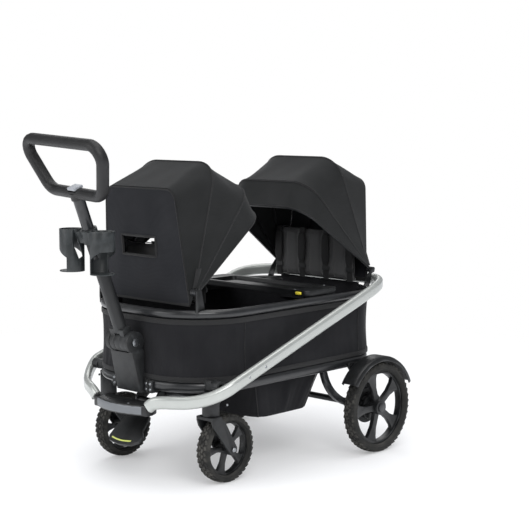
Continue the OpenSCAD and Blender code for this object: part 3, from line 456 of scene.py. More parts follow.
slotOf = {row["node"]: row["material_slot"] for row in frame["record"]["subparts"]}
bodyOf = {node: body for body, nodes in frame["record"]["behaviour"]["bodies"].items() for node in nodes}


def grid(name, rows, material, closedRow=False, closedColumn=False, **keep):
    # a quad sheet through equal rows of points
    n, m = len(rows), len(rows[0])
    points = [p for row in rows for p in row]
    faces = []
    for i in range(n if closedColumn else n - 1):
        for j in range(m if closedRow else m - 1):
            a, b = i * m + j, i * m + (j + 1) % m
            c, d = ((i + 1) % n) * m + (j + 1) % m, ((i + 1) % n) * m + j
            faces.append((a, b, c, d))
    return meshPiece(name, points, faces, material, **keep)


def solid(piece, thickness, offset=0.0, level=0):
    mod = piece.modifiers.new("wall", "SOLIDIFY")
    mod.thickness = thickness
    mod.offset = offset
    if level:
        sub = piece.modifiers.new("round", "SUBSURF")
        sub.levels = sub.render_levels = level
    return applied(piece)


def pathFrames(path, up=Vector((0, 0, 1)), closed=False):
    n = len(path)
    frames = []
    for i in range(n):
        a = path[(i - 1) % n] if closed or i > 0 else path[0]
        b = path[(i + 1) % n] if closed or i < n - 1 else path[-1]
        along = (b - a).normalized()
        side = along.cross(up)
        side = side.normalized() if side.length > 1e-6 else Vector((1, 0, 0))
        frames.append((path[i], side, side.cross(along)))
    return frames


def sweep(name, path, section, material, closed=False, up=Vector((0, 0, 1)), **keep):
    # carries a section (points in metres: aside, up) along a path
    rows = [[p + s * q[0] + u * q[1] for q in section] for p, s, u in pathFrames(path, up, closed)]
    piece = grid(name, rows, material, closedRow=True, closedColumn=closed, **keep)
    if not closed:
        bm = bmesh.new()
        bm.from_mesh(piece.data)
        bm.verts.ensure_lookup_table()
        m, n = len(section), len(path)
        for ring in ([bm.verts[j] for j in range(m)], [bm.verts[(n - 1) * m + j] for j in range(m)]):
            bm.faces.new(ring)
        bm.to_mesh(piece.data)
        bm.free()
    mended(piece, 0.000001)
    sharpen(piece.data, 40)
    return piece


def ovalSection(w, h, n=24, ridge=0.0):
    points = []
    for i in range(n):
        a = 2 * math.pi * i / n
        x, y = w / 2 * math.cos(a), w / 2 * math.sin(a) + math.copysign((h - w) / 2, math.sin(a)
            if abs(math.sin(a)) > 1e-9 else 1)
        points.append((x, y))
    return points


def arcPoints(cx, cy, r, a0, a1, n):
    return [(cx + r * math.cos(math.radians(a0 + (a1 - a0) * i / n)),
        cy + r * math.sin(math.radians(a0 + (a1 - a0) * i / n)))
            for i in range(n + 1)]


# screws and rivets on tubes and brackets, made by a node tree

screwSettings = {"radius": 0.0045, "height": 0.0016, "seed": 4}


def screwTree():
    tree = bpy.data.node_groups.new("screwHeads", "GeometryNodeTree")
    tree.interface.new_socket(name="Geometry", in_out="INPUT", socket_type="NodeSocketGeometry")
    tree.interface.new_socket(name="Radius", in_out="INPUT", socket_type="NodeSocketFloat")
    tree.interface.new_socket(name="Height", in_out="INPUT", socket_type="NodeSocketFloat")
    tree.interface.new_socket(name="Finish", in_out="INPUT", socket_type="NodeSocketMaterial")
    tree.interface.new_socket(name="Geometry", in_out="OUTPUT", socket_type="NodeSocketGeometry")
    nodes, links = tree.nodes, tree.links
    start, end = nodes.new("NodeGroupInput"), nodes.new("NodeGroupOutput")
    head = nodes.new("GeometryNodeMeshCone")
    head.inputs["Vertices"].default_value = 18
    links.new(start.outputs["Radius"], head.inputs["Radius Bottom"])
    top = nodes.new("ShaderNodeMath")
    top.operation = "MULTIPLY"
    top.inputs[1].default_value = 0.72
    links.new(start.outputs["Radius"], top.inputs[0])
    links.new(top.outputs[0], head.inputs["Radius Top"])
    links.new(start.outputs["Height"], head.inputs["Depth"])
    socketCut = nodes.new("GeometryNodeMeshCylinder")
    socketCut.inputs["Vertices"].default_value = 6
    small = nodes.new("ShaderNodeMath")
    small.operation = "MULTIPLY"
    small.inputs[1].default_value = 0.4
    links.new(start.outputs["Radius"], small.inputs[0])
    links.new(small.outputs[0], socketCut.inputs["Radius"])
    links.new(start.outputs["Height"], socketCut.inputs["Depth"])
    lift = nodes.new("GeometryNodeTransform")
    raised = nodes.new("ShaderNodeCombineXYZ")
    links.new(start.outputs["Height"], raised.inputs[2])
    links.new(raised.outputs[0], lift.inputs["Translation"])
    links.new(socketCut.outputs["Mesh"], lift.inputs["Geometry"])
    cut = nodes.new("GeometryNodeMeshBoolean")
    cut.operation = "DIFFERENCE"
    links.new(head.outputs["Mesh"], cut.inputs[0])
    links.new(lift.outputs[0], cut.inputs[1])
    # each vertex of the carrier mesh stands for one screw, its normal for the screw's axis
    toPoints = nodes.new("GeometryNodeMeshToPoints")
    links.new(start.outputs["Geometry"], toPoints.inputs[0])
    axis = nodes.new("GeometryNodeInputNamedAttribute")
    axis.data_type = "FLOAT_VECTOR"
    axis.inputs[0].default_value = "screwAxis"
    turn = nodes.new("FunctionNodeAlignRotationToVector")
    turn.axis = "Z"
    links.new(axis.outputs[0], turn.inputs["Vector"])
    copies = nodes.new("GeometryNodeInstanceOnPoints")
    links.new(toPoints.outputs[0], copies.inputs["Points"])
    links.new(cut.outputs[0], copies.inputs["Instance"])
    links.new(turn.outputs[0], copies.inputs["Rotation"])
    real = nodes.new("GeometryNodeRealizeInstances")
    links.new(copies.outputs[0], real.inputs[0])
    paint = nodes.new("GeometryNodeSetMaterial")
    links.new(real.outputs[0], paint.inputs[0])
    links.new(start.outputs["Finish"], paint.inputs["Material"])
    links.new(paint.outputs[0], end.inputs[0])
    return tree


screwNodes = screwTree()


def screws(name, places, body, material="pinSteel", slotName="pin_steel", radius=None, height=None):
    # places: (x, y, z, axis) in millimetres from the middle of the wheelbase
    mesh = bpy.data.meshes.new(name)
    mesh.from_pydata([tuple(at(*p[:3])) for p in places], [], [])
    axes = mesh.attributes.new("screwAxis", "FLOAT_VECTOR", "POINT")
    for i, p in enumerate(places):
        axes.data[i].vector = Vector(p[3]).normalized()
    piece = bpy.data.objects.new(name, mesh)
    bpy.context.scene.collection.objects.link(piece)
    mod = piece.modifiers.new("screwHeads", "NODES")
    mod.node_group = screwNodes
    sockets = {item.name: item.identifier for item in screwNodes.interface.items_tree
        if item.in_out == "INPUT"}
    mod[sockets["Radius"]] = radius or screwSettings["radius"]
    mod[sockets["Height"]] = height or screwSettings["height"]
    mod[sockets["Finish"]] = materials[material]
    applied(piece)
    sharpen(piece.data, 30)
    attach(piece, body)
    return piece


print("stage: helpers ready")

# the bright side tube, one bent oval tube from step to step round the back

sideTube = {"width": 25, "height": 40, "y": 325, "slope": 0.347, "front": (-350, 60, -525, 125),
    "rear": (290, 125, 171)}


def sidePath():
    s = sideTube
    line = lambda x: 424 + s["slope"] * (x + 58)
    reach = s["y"] - 125
    pts = []
    fx, pull, fe, fy = s["front"]
    for i in range(28, 0, -1):
        q = i / 28
        w = ((1 - q) ** 3, 3 * (1 - q) ** 2 * q, 3 * (1 - q) * q * q, q ** 3)
        x = w[0] * fx + w[1] * (fx - pull) + (w[2] + w[3]) * fe
        y = (w[0] + w[1]) * s["y"] + w[2] * (fy + pull) + w[3] * fy
        pts.append((x, y, line(fx) - 3 * s["slope"] * pull * q - 368 * q * q + 842 * q ** 3 - 482 * q ** 4))
    rx, ry, ra = s["rear"]
    pts += [(fx + (rx - fx) * i / 10, s["y"], line(fx + (rx - fx) * i / 10)) for i in range(11)]
    for i in range(1, 29):
        q = i / 28
        a = math.radians(90 - 90 * q)
        pts.append((rx + ra * math.cos(a), ry + reach * math.sin(a),
            line(rx) + 93 * q - 119.4 * q * q + 48.6 * q ** 3))
    return [at(*p) for p in pts + [(x, -y, z) for x, y, z in reversed(pts)]]


def ridgedSection(w, h):
    # an oval with a fine step along its upper outer side
    base = ovalSection(w / 1000, h / 1000, 32)
    shaped = []
    for x, y in base:
        deep = 0.0009 * math.exp(-((y - 0.006) / 0.0016) ** 2)
        shaped.append((x - math.copysign(deep, x), y))
    return shaped


sweep("sideTubeLoop", sidePath(), ridgedSection(sideTube["width"], sideTube["height"]), "silverPaint",
    body="side_frame",
      slotName="frame_silver", nodes=("side_tubes", "rear_bend"))
screws("sideTubeRivets", [(-228, s * 337.2, 384 - 20, (0, s, 0))
    for s in (-1, 1)] + [(-300, s * 337.0, 341, (0, s, 0)) for s in (-1, 1)],
       "side_frame", radius=0.005)
print("stage: side tube done")

# hard parts that keep their CAD shape, with rounded edges

hardParts = {
    "lower_frame": ("blackPaint", 0), "top_rim": ("blackPaint", 0), "cross_tubes": ("blackPaint", 0),
    "front_post": ("bracketNylon", 0.0025), "post_clamps": ("bracketNylon", 0.0015),
    "knuckle_pin": ("pinSteel", 0.001),
    "caster_housings": ("bracketNylon", 0.0015), "rear_axle": ("blackPaint", 0.001),
    "axle_struts": ("blackPaint", 0.003),
    "brake_housings": ("bracketNylon", 0.0015), "fenders": ("blackPlastic", 0.0004),
    "fold_brackets": ("bracketNylon", 0.001),
    "pedal_bracket": ("bracketNylon", 0.001), "caster_fork_left": ("bracketNylon", 0.0015),
    "caster_fork_right": ("bracketNylon", 0.0015), "front_tyre_left": ("tyreRubber", 0),
    "front_tyre_right": ("tyreRubber", 0),
    "rear_tyre_left": ("tyreRubber", 0), "rear_tyre_right": ("tyreRubber", 0),
    "front_rim_left": ("blackPlastic", 0.0012),
    "front_rim_right": ("blackPlastic", 0.0012), "rear_rim_left": ("blackPlastic", 0.0015),
    "rear_rim_right": ("blackPlastic", 0.0015),
    "brake_pedal": ("blackPlastic", 0.003), "brake_pawls": ("pinSteel", 0.0008),
    "side_hinges": ("bracketNylon", 0.0015),
    "front_bumper": ("blackPlastic", 0.005), "scissor_bars": ("blackPaint", 0.0008),
    "snack_tray": ("blackPlastic", 0.002),
    "canopy_mounts": ("blackPlastic", 0.0008), "tray_button_left": ("yellowPlastic", 0.002),
    "tray_button_right": ("yellowPlastic", 0.002),
    "handle_hub": ("bracketNylon", 0.0015), "handle_lower_tube": ("bracketNylon", 0.0015),
    "cup_holders": ("cupPlastic", 0.0008),
    "handle_upper_tube": ("blackPaint", 0), "grip_button": ("greyPlastic", 0.0025),
    "grip_loop": ("gripRubber", 0),
    "front_canopy_crest": ("blackPaint", 0), "front_canopy_hoop": ("blackPaint", 0),
    "front_canopy_visor": ("blackPaint", 0),
    "rear_canopy_crest": ("blackPaint", 0), "rear_canopy_hoop": ("blackPaint", 0),
    "rear_canopy_visor": ("blackPaint", 0),
}
for node, (material, bevel) in hardParts.items():
    finishNode(node, material, bevel=bevel)
print("stage: hard parts finished")

# canopies: curved sheets stretched from hoop to hoop, with corded seams along the hoops

canopySettings = {"pivot": (-410, 430), "height": 602, "taper": 36, "hem": (-4, -47),
    "crest": (203, 405, 75, 71.5),
                  "lead": (211, 414, 80, 48), "visor": (219, 397, 85, 35), "panel": (194, 361, 40, 95),
                  "seed": 11}


def canopyPoint(k, q, y, z):
    turn = 1 if k == 0 else -1
    return at(canopySettings["pivot"][k] + turn * q, y, canopySettings["height"] + z)


def hoopLine(half, r, corner, out, first, counts=(16, 12, 9)):
    # one hoop flat in its plane, from its left foot over the bar to its right foot
    lean = math.atan2(canopySettings["taper"], r)
    half, r, corner = half + out / math.cos(lean), r + out, corner + out
    cy = half - (r - corner) * math.tan(lean) - corner / math.cos(lean)
    cx = r - corner
    qx, qy = cx + corner * math.sin(lean), cy + corner * math.cos(lean)
    side = [(first + (qx - first) * i / counts[0], qy + (qx - first) * (1 - i / counts[0]) * math.tan(lean))
        for i in range(counts[0])]
    for i in range(counts[1]):
        a = (math.pi / 2 - lean) * (1 - i / counts[1])
        side.append((cx + corner * math.cos(a), cy + corner * math.sin(a)))
    side += [(r, cy * (1 - i / counts[2])) for i in range(counts[2] + 1)]
    return side + [(x, -y) for x, y in reversed(side[:-1])]


def hoopRow(k, name, out, first=12, angle=None):
    s = canopySettings
    half, r, corner, a = s[name]
    a = math.radians(angle if angle is not None else a)
    base = s["hem"] if name == "panel" else (0, 0)
    return [canopyPoint(k, base[0] + u * math.cos(a), y, base[1] + u * math.sin(a)) for u,
        y in hoopLine(half, r, corner, out, first)]


def stretched(k, rowA, rowB, steps, sag, seed, crease=1.0):
    # cloth pulled between two rows: it draws in between them and creases away from the corners
    rng = random.Random(seed)
    phases = [(rng.uniform(0, 6.28), rng.uniform(5, 9), rng.uniform(0.5, 1.0)) for _ in range(3)]
    middle = canopyPoint(k, 20, 0, 60)
    rows = []
    n = len(rowA)
    for i in range(steps + 1):
        t = i / steps
        row = []
        for j, (a, b) in enumerate(zip(rowA, rowB)):
            p = a.lerp(b, t)
            v = j / (n - 1)
            foot = min(v, 1 - v) * 2
            spread = min(1.0, foot * 2.2) ** 1.5
            near = math.exp(-((foot - 0.62) / 0.16) ** 2)
            wave = sum(h * math.sin(f * 6.28 * (v + 0.05 * t) + ph) for ph, f, h in phases)
            pull = sag * 4 * t * (1 - t) * spread + crease * math.sin(math.pi * t) * (0.5 * wave +
                1.8 * near * math.sin(26 * foot + 3 * t + phases[0][0]))
            inward = (middle - p).normalized()
            row.append(p + inward * (pull / 1000))
        rows.append(row)
    return rows


def clothSheet(name, rows, material, nodes=(), thickness=0.0014,
    body=None):
    piece = grid(name, rows, material)
    solid(piece, thickness)
    mended(piece, 0.0000001)
    sharpen(piece.data, 60)
    if nodes:
        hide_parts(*nodes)
    if body:
        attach(piece, body)
    return piece


def roundSection(d, n=8):
    return [(d / 2000 * math.cos(2 * math.pi * i / n), d / 2000 * math.sin(2 * math.pi * i / n))
        for i in range(n)]


def cordedSeam(name, row, d, material, body):
    piece = sweep(name, row, roundSection(d), material, up=Vector((0.001, 0.0005, 1)).normalized())
    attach(piece, body)
    return piece


def closeEnds(piece, n, last):
    # faces across the first and the last row of a band of n points a row
    bm = bmesh.new()
    bm.from_mesh(piece.data)
    bm.verts.ensure_lookup_table()
    bm.faces.new([bm.verts[j] for j in range(n)])
    bm.faces.new([bm.verts[last * n + j] for j in range(n)])
    bm.to_mesh(piece.data)
    bm.free()


def ribbon(name, path, across, width, thickness, material, slotName, body=None):
    # a flat band along a path; across gives the direction of its width at each point
    rows = []
    for i, p in enumerate(path):
        w = across[i] if isinstance(across, list) else across
        a, b = path[max(0, i - 1)], path[min(len(path) - 1, i + 1)]
        n = (b - a).cross(w).normalized()
        h, t = width / 2000, thickness / 2000
        rows.append([p + w * h * c + n * t * e for c,
            e in ((1, -0.5), (1, 0.5), (0.9, 1), (0, 1), (-0.9, 1), (-1, 0.5), (-1, -0.5), (-0.9, -1),
            (0, -1), (0.9, -1))])
    piece = grid(name, rows, material, closedRow=True)
    closeEnds(piece, 10, len(path) - 1)
    mended(piece, 0.0000001)
    sharpen(piece.data, 50)
    if body:
        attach(piece, body)
    return piece


def joinPieces(target, pieces):
    # one mesh out of several that share a body
    bm = bmesh.new()
    names = []
    for piece in [target] + pieces:
        index = {}
        for i, m in enumerate(piece.data.materials):
            if m.name not in names:
                names.append(m.name)
            index[i] = names.index(m.name)
        start = len(bm.faces)
        bm.from_mesh(piece.data)
        bm.faces.ensure_lookup_table()
        for face in bm.faces[start:]:
            face.material_index = index.get(face.material_index, 0)
    bm.to_mesh(target.data)
    bm.free()
    target.data.materials.clear()
    for name in names:
        target.data.materials.append(bpy.data.materials[name])
    for piece in pieces:
        bpy.data.objects.remove(piece, do_unlink=True)
    return target


# the window of a canopy's panel: from u to u, its start and width across, and its first and last row across
windowSettings = {"us": (147, 209), "start": -66, "width": 156, "rows": (7, 17), "flat": (0.062, 0.156)}


def panelRows(k):
    s = canopySettings
    half, r, corner, a = s["panel"]
    a = math.radians(a)
    left, width = windowSettings["start"], windowSettings["width"]
    right = left + width
    us = [3, 30, 60, 90, 120, 147, 162, 178, 194, 209, 235, 260, 285, 305, 321]
    us += [321 + 40 * math.sin(math.radians(b)) for b in (12, 24, 36, 48, 60, 72, 84, 90)]
    rows = []
    for u in us:
        lean = (half - 2) - 32 * (u - 3) / (r - 3)
        w = lean if u <= 321 else lean - corner + corner * math.sqrt(max(0, 1 - ((u - 321) / corner) ** 2))
        ys = [-w + (w + left) * i / 7 for i in range(7)] + [left + width * i / 10 for i in range(10)]
        ys += [right + (w - right) * i / 6 for i in range(7)]
        row = []
        for y in ys:
            v, h = y / w, (u - 3) / (r - 3)
            belly = 9 * (1 - v * v) * math.sin(math.pi * min(1, h * 1.02))
            belly += 1.1 * math.sin(0.05 * y + 5 * h) * math.sin(math.pi * h)
            near = max(0, 1 - math.hypot((u - 178) / 60, (y - 12) / 110))
            belly -= 4 * near
            row.append(canopyPoint(k, s["hem"][0] + u * math.cos(a) - belly * math.sin(a), y,
                s["hem"][1] + u * math.sin(a) - belly * math.cos(a)))
        rows.append(row)
    return us, rows


def makeFlap(k, side):
    # the rear window is closed by a flap on its outside
    s = canopySettings
    half, r, _, a = s["panel"]
    a = math.radians(a)
    rows = []
    for i in range(11):
        u = 139 + 79 * i / 10
        row = []
        for j in range(17):
            y = -76 + 176 * j / 16
            v, h = y / (half - 2 - 32 * (u - 3) / (r - 3)), (u - 3) / (r - 3)
            near = max(0, 1 - math.hypot((u - 178) / 60, (y - 12) / 110))
            belly = 9 * (1 - v * v) * math.sin(math.pi * h) + 1.1 * math.sin(0.05 * y + 5 * h) - 4 * near + 5.2
            row.append(canopyPoint(k, s["hem"][0] + u * math.cos(a) - belly * math.sin(a), y,
                s["hem"][1] + u * math.sin(a) - belly * math.cos(a)))
        rows.append(row)
    return clothSheet(side + "WindowFlap", rows, "panelCloth",
        body=side + "_panel")


def makePanel(k, side):
    us, rows = panelRows(k)
    n, m = len(rows), len(rows[0])
    low, high = windowSettings["us"]
    first, last = windowSettings["rows"]
    faces = []
    for i in range(n - 1):
        for j in range(m - 1):
            if low <= us[i] < high and first <= j < last:
                continue
            faces.append((i * m + j, i * m + j + 1, (i + 1) * m + j + 1, (i + 1) * m + j))
    piece = meshPiece(side + "CanopyPanelCloth", [p for row in rows for p in row], faces, "panelCloth")
    solid(piece, 0.0016)
    mended(piece, 0.0000001)
    sharpen(piece.data, 60)
    body = side + "_panel"
    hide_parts(side + "_canopy_panel")
    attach(piece, body)
    # binding round the window: out along its edge and back, with the corners taken off
    i0, i1 = us.index(low), us.index(high)
    edge = [rows[i0][j] for j in range(first, last + 1)] + [rows[i][last] for i in range(i0 + 1, i1)]
    edge += [rows[i1][j] for j in range(last, first - 1, -1)] + [rows[i][first] for i in range(i1 - 1, i0, -1)]
    ring = [(0.004 * math.cos(b), 0.005 * math.sin(b)) for b in [2 * math.pi * i / 10 for i in range(10)]]
    binding = sweep(side + "WindowBinding", edge, ring, "bindingTape", closed=True,
        up=Vector((1, 0.02, 0.01)).normalized())
    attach(binding, body)
    across = Vector((0, 0, 1))
    hemBand = ribbon(side + "PanelHem", [p + Vector((0, 0, 0.006)) for p in rows[0]], across, 14, 3.4,
        "bindingTape", "canopy_fabric", body)
    seam = cordedSeam(side + "PanelSeam", hoopRow(k, "panel", -1, 6), 5, "bindingTape", body)
    return piece


def makeCanopy(k, side):
    s = canopySettings
    seed = s["seed"] + 20 * k
    crestRow = hoopRow(k, "crest", 6.2, 14)
    leadRow = hoopRow(k, "lead", 6.2, 14)
    visorRow = hoopRow(k, "visor", 6.0, 14)
    panelRow = hoopRow(k, "panel", 3.0, 6)
    crestBody, leadBody, visorBody, panelBody = (side + "_" + part
        for part in ("crest", "lead", "visor", "panel"))
    for name, row, body, offsets in (("crest", "crest", crestBody, (-0.3, 0.3)),
        ("lead", "lead", leadBody, (-0.3, 0.3)), ("visor", "visor", visorBody, (0,))):
        cords = [cordedSeam("%s%sSeam%d" % (side, name, i), hoopRow(k, row, 7.0, 14, s[row][3] + o), 3.4,
            "bindingTape", body)
                 for i, o in enumerate(offsets)]
    roof = clothSheet(side + "RoofCloth", stretched(k, crestRow, panelRow, 12, 1, seed, 1.0), "canopyCloth",
                      (side + "_canopy_roof",))
    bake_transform(roof)
    cover = clothSheet(side + "CoverCloth", stretched(k, crestRow, leadRow, 12, 5, seed + 1, 1.3),
        "canopyCloth",
                       (side + "_canopy_cover",))
    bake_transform(cover)
    visor = clothSheet(side + "VisorCloth", stretched(k, leadRow, visorRow, 8, 3, seed + 2, 0.7),
        "canopyCloth",
                       ())
    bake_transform(visor)
    makePanel(k, side)
    if k:
        makeFlap(k, side)
    # a doubled patch at the foot of each arm
    for name, body in (("crest", crestBody),):
        for i, mark in enumerate((1, -1)):
            row = hoopRow(k, name, 7.6, 14)
            foot = row[:4] if mark == 1 else row[-1:-5:-1]
            ribbon("%sPatch%s%d" % (side, name, i), foot, Vector((1, 0, 0)), 22, 2.2, "bindingTape",
                "canopy_fabric", body)


for index, side in enumerate(("front", "rear")):
    makeCanopy(index, side)
print("stage: canopies done")

# tub wall: one band of cloth from the lower frame to the rim, slightly slack, gathered at the round ends

wallSettings = {"plan": (-470.5, 431.5, 284.5, 203.5, 158.5), "low": 326, "high": 519, "seed": 5}


def planPoints(plan, step):
    # evenly spaced points and outward directions along a tub plan, in millimetres
    front, rear, half, rf, rr = plan
    dense = []
    for x0, x1, y, turn in ((rear - rr, front + rf, half, 1), (front + rf, rear - rr, -half, -1)):
        dense += [(x0 + (x1 - x0) * i / 80, y) for i in range(80)]
        r = rf if turn == 1 else rr
        cx = front + rf if turn == 1 else rear - rr
        arc = arcPoints(cx, half - r, r, 90, 180, 40)
        if turn == 1:
            dense += arc + [(front, (half - r) * (1 - i / 10)) for i in range(1, 20)] + [(x, -v) for x,
                v in reversed(arc)][:-1]
        else:
            back = arcPoints(cx, -(half - r), r, -90, 0, 40)
            dense += back + [(rear, -(half - r) * (1 - i / 10)) for i in range(1, 20)] + [(x, -v) for x,
                v in reversed(back)][:-1]
    total = [0.0]
    for a, b in zip(dense, dense[1:] + dense[:1]):
        total.append(total[-1] + math.dist(a, b))
    n = int(total[-1] / step)
    out, j = [], 0
    for i in range(n):
        want = total[-1] * i / n
        while total[j + 1] < want:
            j += 1
        a, b = dense[j], dense[(j + 1) % len(dense)]
        t = (want - total[j]) / max(1e-9, total[j + 1] - total[j])
        dx, dy = b[0] - a[0], b[1] - a[1]
        size = math.hypot(dx, dy) or 1
        out.append((a[0] + dx * t, a[1] + dy * t, dy / size, -dx / size))
    middle = ((front + rear) / 2, 0)
    return [(x, y, nx, ny) if (x - middle[0]) * nx + y * ny > 0 else (x, y, -nx, -ny) for x, y, nx, ny in out]


def makeWall(s):
    rng = random.Random(s["seed"])
    plan = planPoints(s["plan"], 9)
    n = len(plan)
    waves = [(rng.uniform(0, 6.28), f, rng.uniform(0.6, 1.2)) for f in (17, 29, 43, 61)]
    rows = []
    levels = 16
    for i in range(levels + 1):
        h = i / levels
        row = []
        for j, (x, y, nx, ny) in enumerate(plan):
            round01 = 1 if abs(x) > 300 else 0.35
            v = j / n
            ripple = sum(a * math.sin(6.2832 * f * v + p + 1.6 * h) for p, f, a in waves)
            slack = math.sin(math.pi * h)
            low = math.exp(-((h - 0.16) / 0.12) ** 2)
            push = -5.0 * slack + round01 * 0.9 * slack * ripple + 1.4 * low * round01 * math.sin(
                6.2832 * 90 * v + waves[0][0])
            row.append(at(x + nx * push, y + ny * push, s["low"] + (s["high"] - s["low"]) * h))
        rows.append(row)
    wall = grid("tubWallCloth", rows, "tubCloth", closedRow=True)
    solid(wall, 0.0022)
    mended(wall, 0.0000001)
    sharpen(wall.data, 60)
    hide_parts("tray_wall")
    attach(wall, bodyOf["tray_wall"])
    seams = []
    for name, level, wide, lift in (("tubWallLowerBinding", s["low"] + 7, 15, 1.0),
        ("tubWallUpperBinding", s["high"] - 8, 16, 1.0)):
        path = [at(x + nx * lift, y + ny * lift, level) for x, y, nx, ny in plan]
        rowsBand = [[p + Vector((0, 0, wide / 2000 * c)) + Vector((plan[i][2], plan[i][3], 0)) * 0.001 * e
            for c, e in
                     ((-1, -1), (-1, 1), (-0.6, 2), (0.6, 2), (1, 1), (1, -1))] for i, p in enumerate(path)]
        band = grid(name, rowsBand, "bindingTape", closedRow=True, closedColumn=True)
        mended(band, 0.0000001)
        sharpen(band.data, 50)
        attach(band, bodyOf["tray_wall"])
        seams.append(band)
    # upright seams where the end pieces meet the sides
    for i, (wantX, wantY) in enumerate(((-270, 1), (-270, -1), (280, 1), (280, -1))):
        j = min(range(n), key=lambda q: abs(plan[q][0] - wantX) + (0 if plan[q][1] * wantY > 0 else 1e6))
        x, y, nx, ny = plan[j]
        path = [at(x + nx * (1.6 - 5 * math.sin(math.pi * t / 14)),
            y + ny * (1.6 - 5 * math.sin(math.pi * t / 14)), s["low"] + 4 + (
            s["high"] - s["low"] - 8) * t / 14) for t in range(15)]
        seam = sweep("tubWallSeam%d" % i, path, roundSection(2.6), "bindingTape", up=Vector((nx, ny, 0)))
        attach(seam, bodyOf["tray_wall"])
        seams.append(seam)
    for piece in [wall] + seams:
        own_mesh(piece)


makeWall(wallSettings)
print("stage: tub wall done")

# basket under the floor: a hung bag, lofted from its rim to a sagging base

basketSettings = {"top": ((-176, 136), (-240, 240), 289), "low": ((-143, 107), (-222, 222), 170), "seed": 8}


def roundedRing(x0, x1, y0, y1, r, n=26):
    pts = []
    for cx, cy, a in ((x1 - r, y1 - r, 0), (x0 + r, y1 - r, 90), (x0 + r, y0 + r, 180),
        (x1 - r, y0 + r, 270)):
        pts += arcPoints(cx, cy, r, a, a + 90, 8)
        nx, ny = {0: (x0 + r, y1), 90: (x0, y0 + r), 180: (x1 - r, y0), 270: (x1, y1 - r)}[a]
        lx, ly = pts[-1]
        pts += [(lx + (nx - lx) * i / n, ly + (ny - ly) * i / n) for i in range(1, n)]
    return pts


def makeBasket(s):
    rng = random.Random(s["seed"])
    waves = [(rng.uniform(0, 6.28), f, rng.uniform(0.6, 1.3)) for f in (9, 15, 23, 37)]
    (tx, ty, tz), (lx, ly, lz) = s["top"], s["low"]
    rows = []
    levels = 18
    for i in range(levels + 1):
        h = i / levels
        inset = h ** 1.15
        x0, x1 = tx[0] + (lx[0] - tx[0]) * inset, tx[1] + (lx[1] - tx[1]) * inset
        y0, y1 = ty[0] + (ly[0] - ty[0]) * inset, ty[1] + (ly[1] - ty[1]) * inset
        ring = roundedRing(x0, x1, y0, y1, 16 + 34 * h)
        n = len(ring)
        row = []
        for j, (x, y) in enumerate(ring):
            v = j / n
            cx, cy = (x0 + x1) / 2, (y0 + y1) / 2
            d = Vector((x - cx, (y - cy) * 0.6)).normalized()
            fold = sum(a * math.sin(6.2832 * f * v + p + 2.2 * h) for p, f, a in waves)
            mid = math.sin(math.pi * h) ** 0.8
            corner = min(1, abs((x - cx) / (x1 - x0) * 2)) * min(1, abs((y - cy) / (y1 - y0) * 2))
            out = mid * (3.5 * (1 - corner) + 1.6 * fold - 5 * corner)
            row.append(at(x + d.x * out, y + d.y * out, tz + (lz - tz) * h + 2.0 * mid * fold * corner))
        rows.append(row)
    cx, cy = (lx[0] + lx[1]) / 2, (ly[0] + ly[1]) / 2
    last = [(p - at(cx, cy, 0)) for p in rows[-1]]
    for i in range(1, 11):
        q = 1 - i / 10.2
        rows.append([at(cx, cy, 0) + Vector((p.x * q, p.y * q,
            p.z - (0.011 * (1 - q ** 2.5)) + 0.002 * math.sin(9 * q + j * 0.2))) for j, p in enumerate(last)])
    bag = grid("basketBag", rows, "tubCloth", closedRow=True)
    bm = bmesh.new()
    bm.from_mesh(bag.data)
    bm.verts.ensure_lookup_table()
    n = len(rows[0])
    bm.faces.new([bm.verts[(len(rows) - 1) * n + j] for j in range(n)])
    bm.to_mesh(bag.data)
    bm.free()
    solid(bag, 0.0024)
    mended(bag, 0.0000001)
    sharpen(bag.data, 60)
    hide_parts("basket")
    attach(bag, "chassis")
    edge = [Vector((p.x, p.y, p.z - 0.002)) for p in rows[0]]
    band = sweep("basketBinding", edge, [(0.003 * math.cos(b), 0.007 * math.sin(b))
        for b in [2 * math.pi * i / 10 for i in range(10)]], "bindingTape", closed=True)
    seams = [band]
    for i, j in enumerate((4, 38, 72, 106)):
        path = [rows[q][j % n].lerp(at(cx, cy, rows[q][j % n].z * 1000), -0.012)
            for q in range(1, levels + 3)]
        seams.append(sweep("basketSeam%d" % i, path, roundSection(3.2), "bindingTape",
            up=Vector((0.6, 0.8, 0))))
    for piece in seams:
        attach(piece, "chassis")


makeBasket(basketSettings)
print("stage: basket done")

# cushions: a closed block, blown up a little as cloth, then sewn down along its channels


def puffed(piece, voxel, pressure, cap, level=1):
    mod = piece.modifiers.new("skin", "REMESH")
    mod.mode = "VOXEL"
    mod.voxel_size = voxel
    applied(piece)
    begin = np.array([v.co for v in piece.data.vertices])
    scene = bpy.context.scene
    cloth = piece.modifiers.new("filling", "CLOTH")
    cloth.settings.use_pressure = True
    cloth.settings.uniform_pressure_force = pressure
    cloth.settings.effector_weights.gravity = 0
    cloth.settings.quality = 4
    cloth.point_cache.frame_start, cloth.point_cache.frame_end = 1, 20
    for f in range(1, 21):
        scene.frame_set(f)
    applied(piece)
    scene.frame_set(1)
    end = np.array([v.co for v in piece.data.vertices])
    moved = end - begin
    far = np.linalg.norm(moved, axis=1)
    far = np.where(far < 1e-9, 1e-9, far)
    end = begin + moved * np.minimum(1, cap * np.tanh(far / cap) / far)[:, None]
    piece.data.vertices.foreach_set("co", end.ravel())
    if level:
        sub = piece.modifiers.new("round", "SUBSURF")
        sub.levels = sub.render_levels = level
        applied(piece)
    return piece


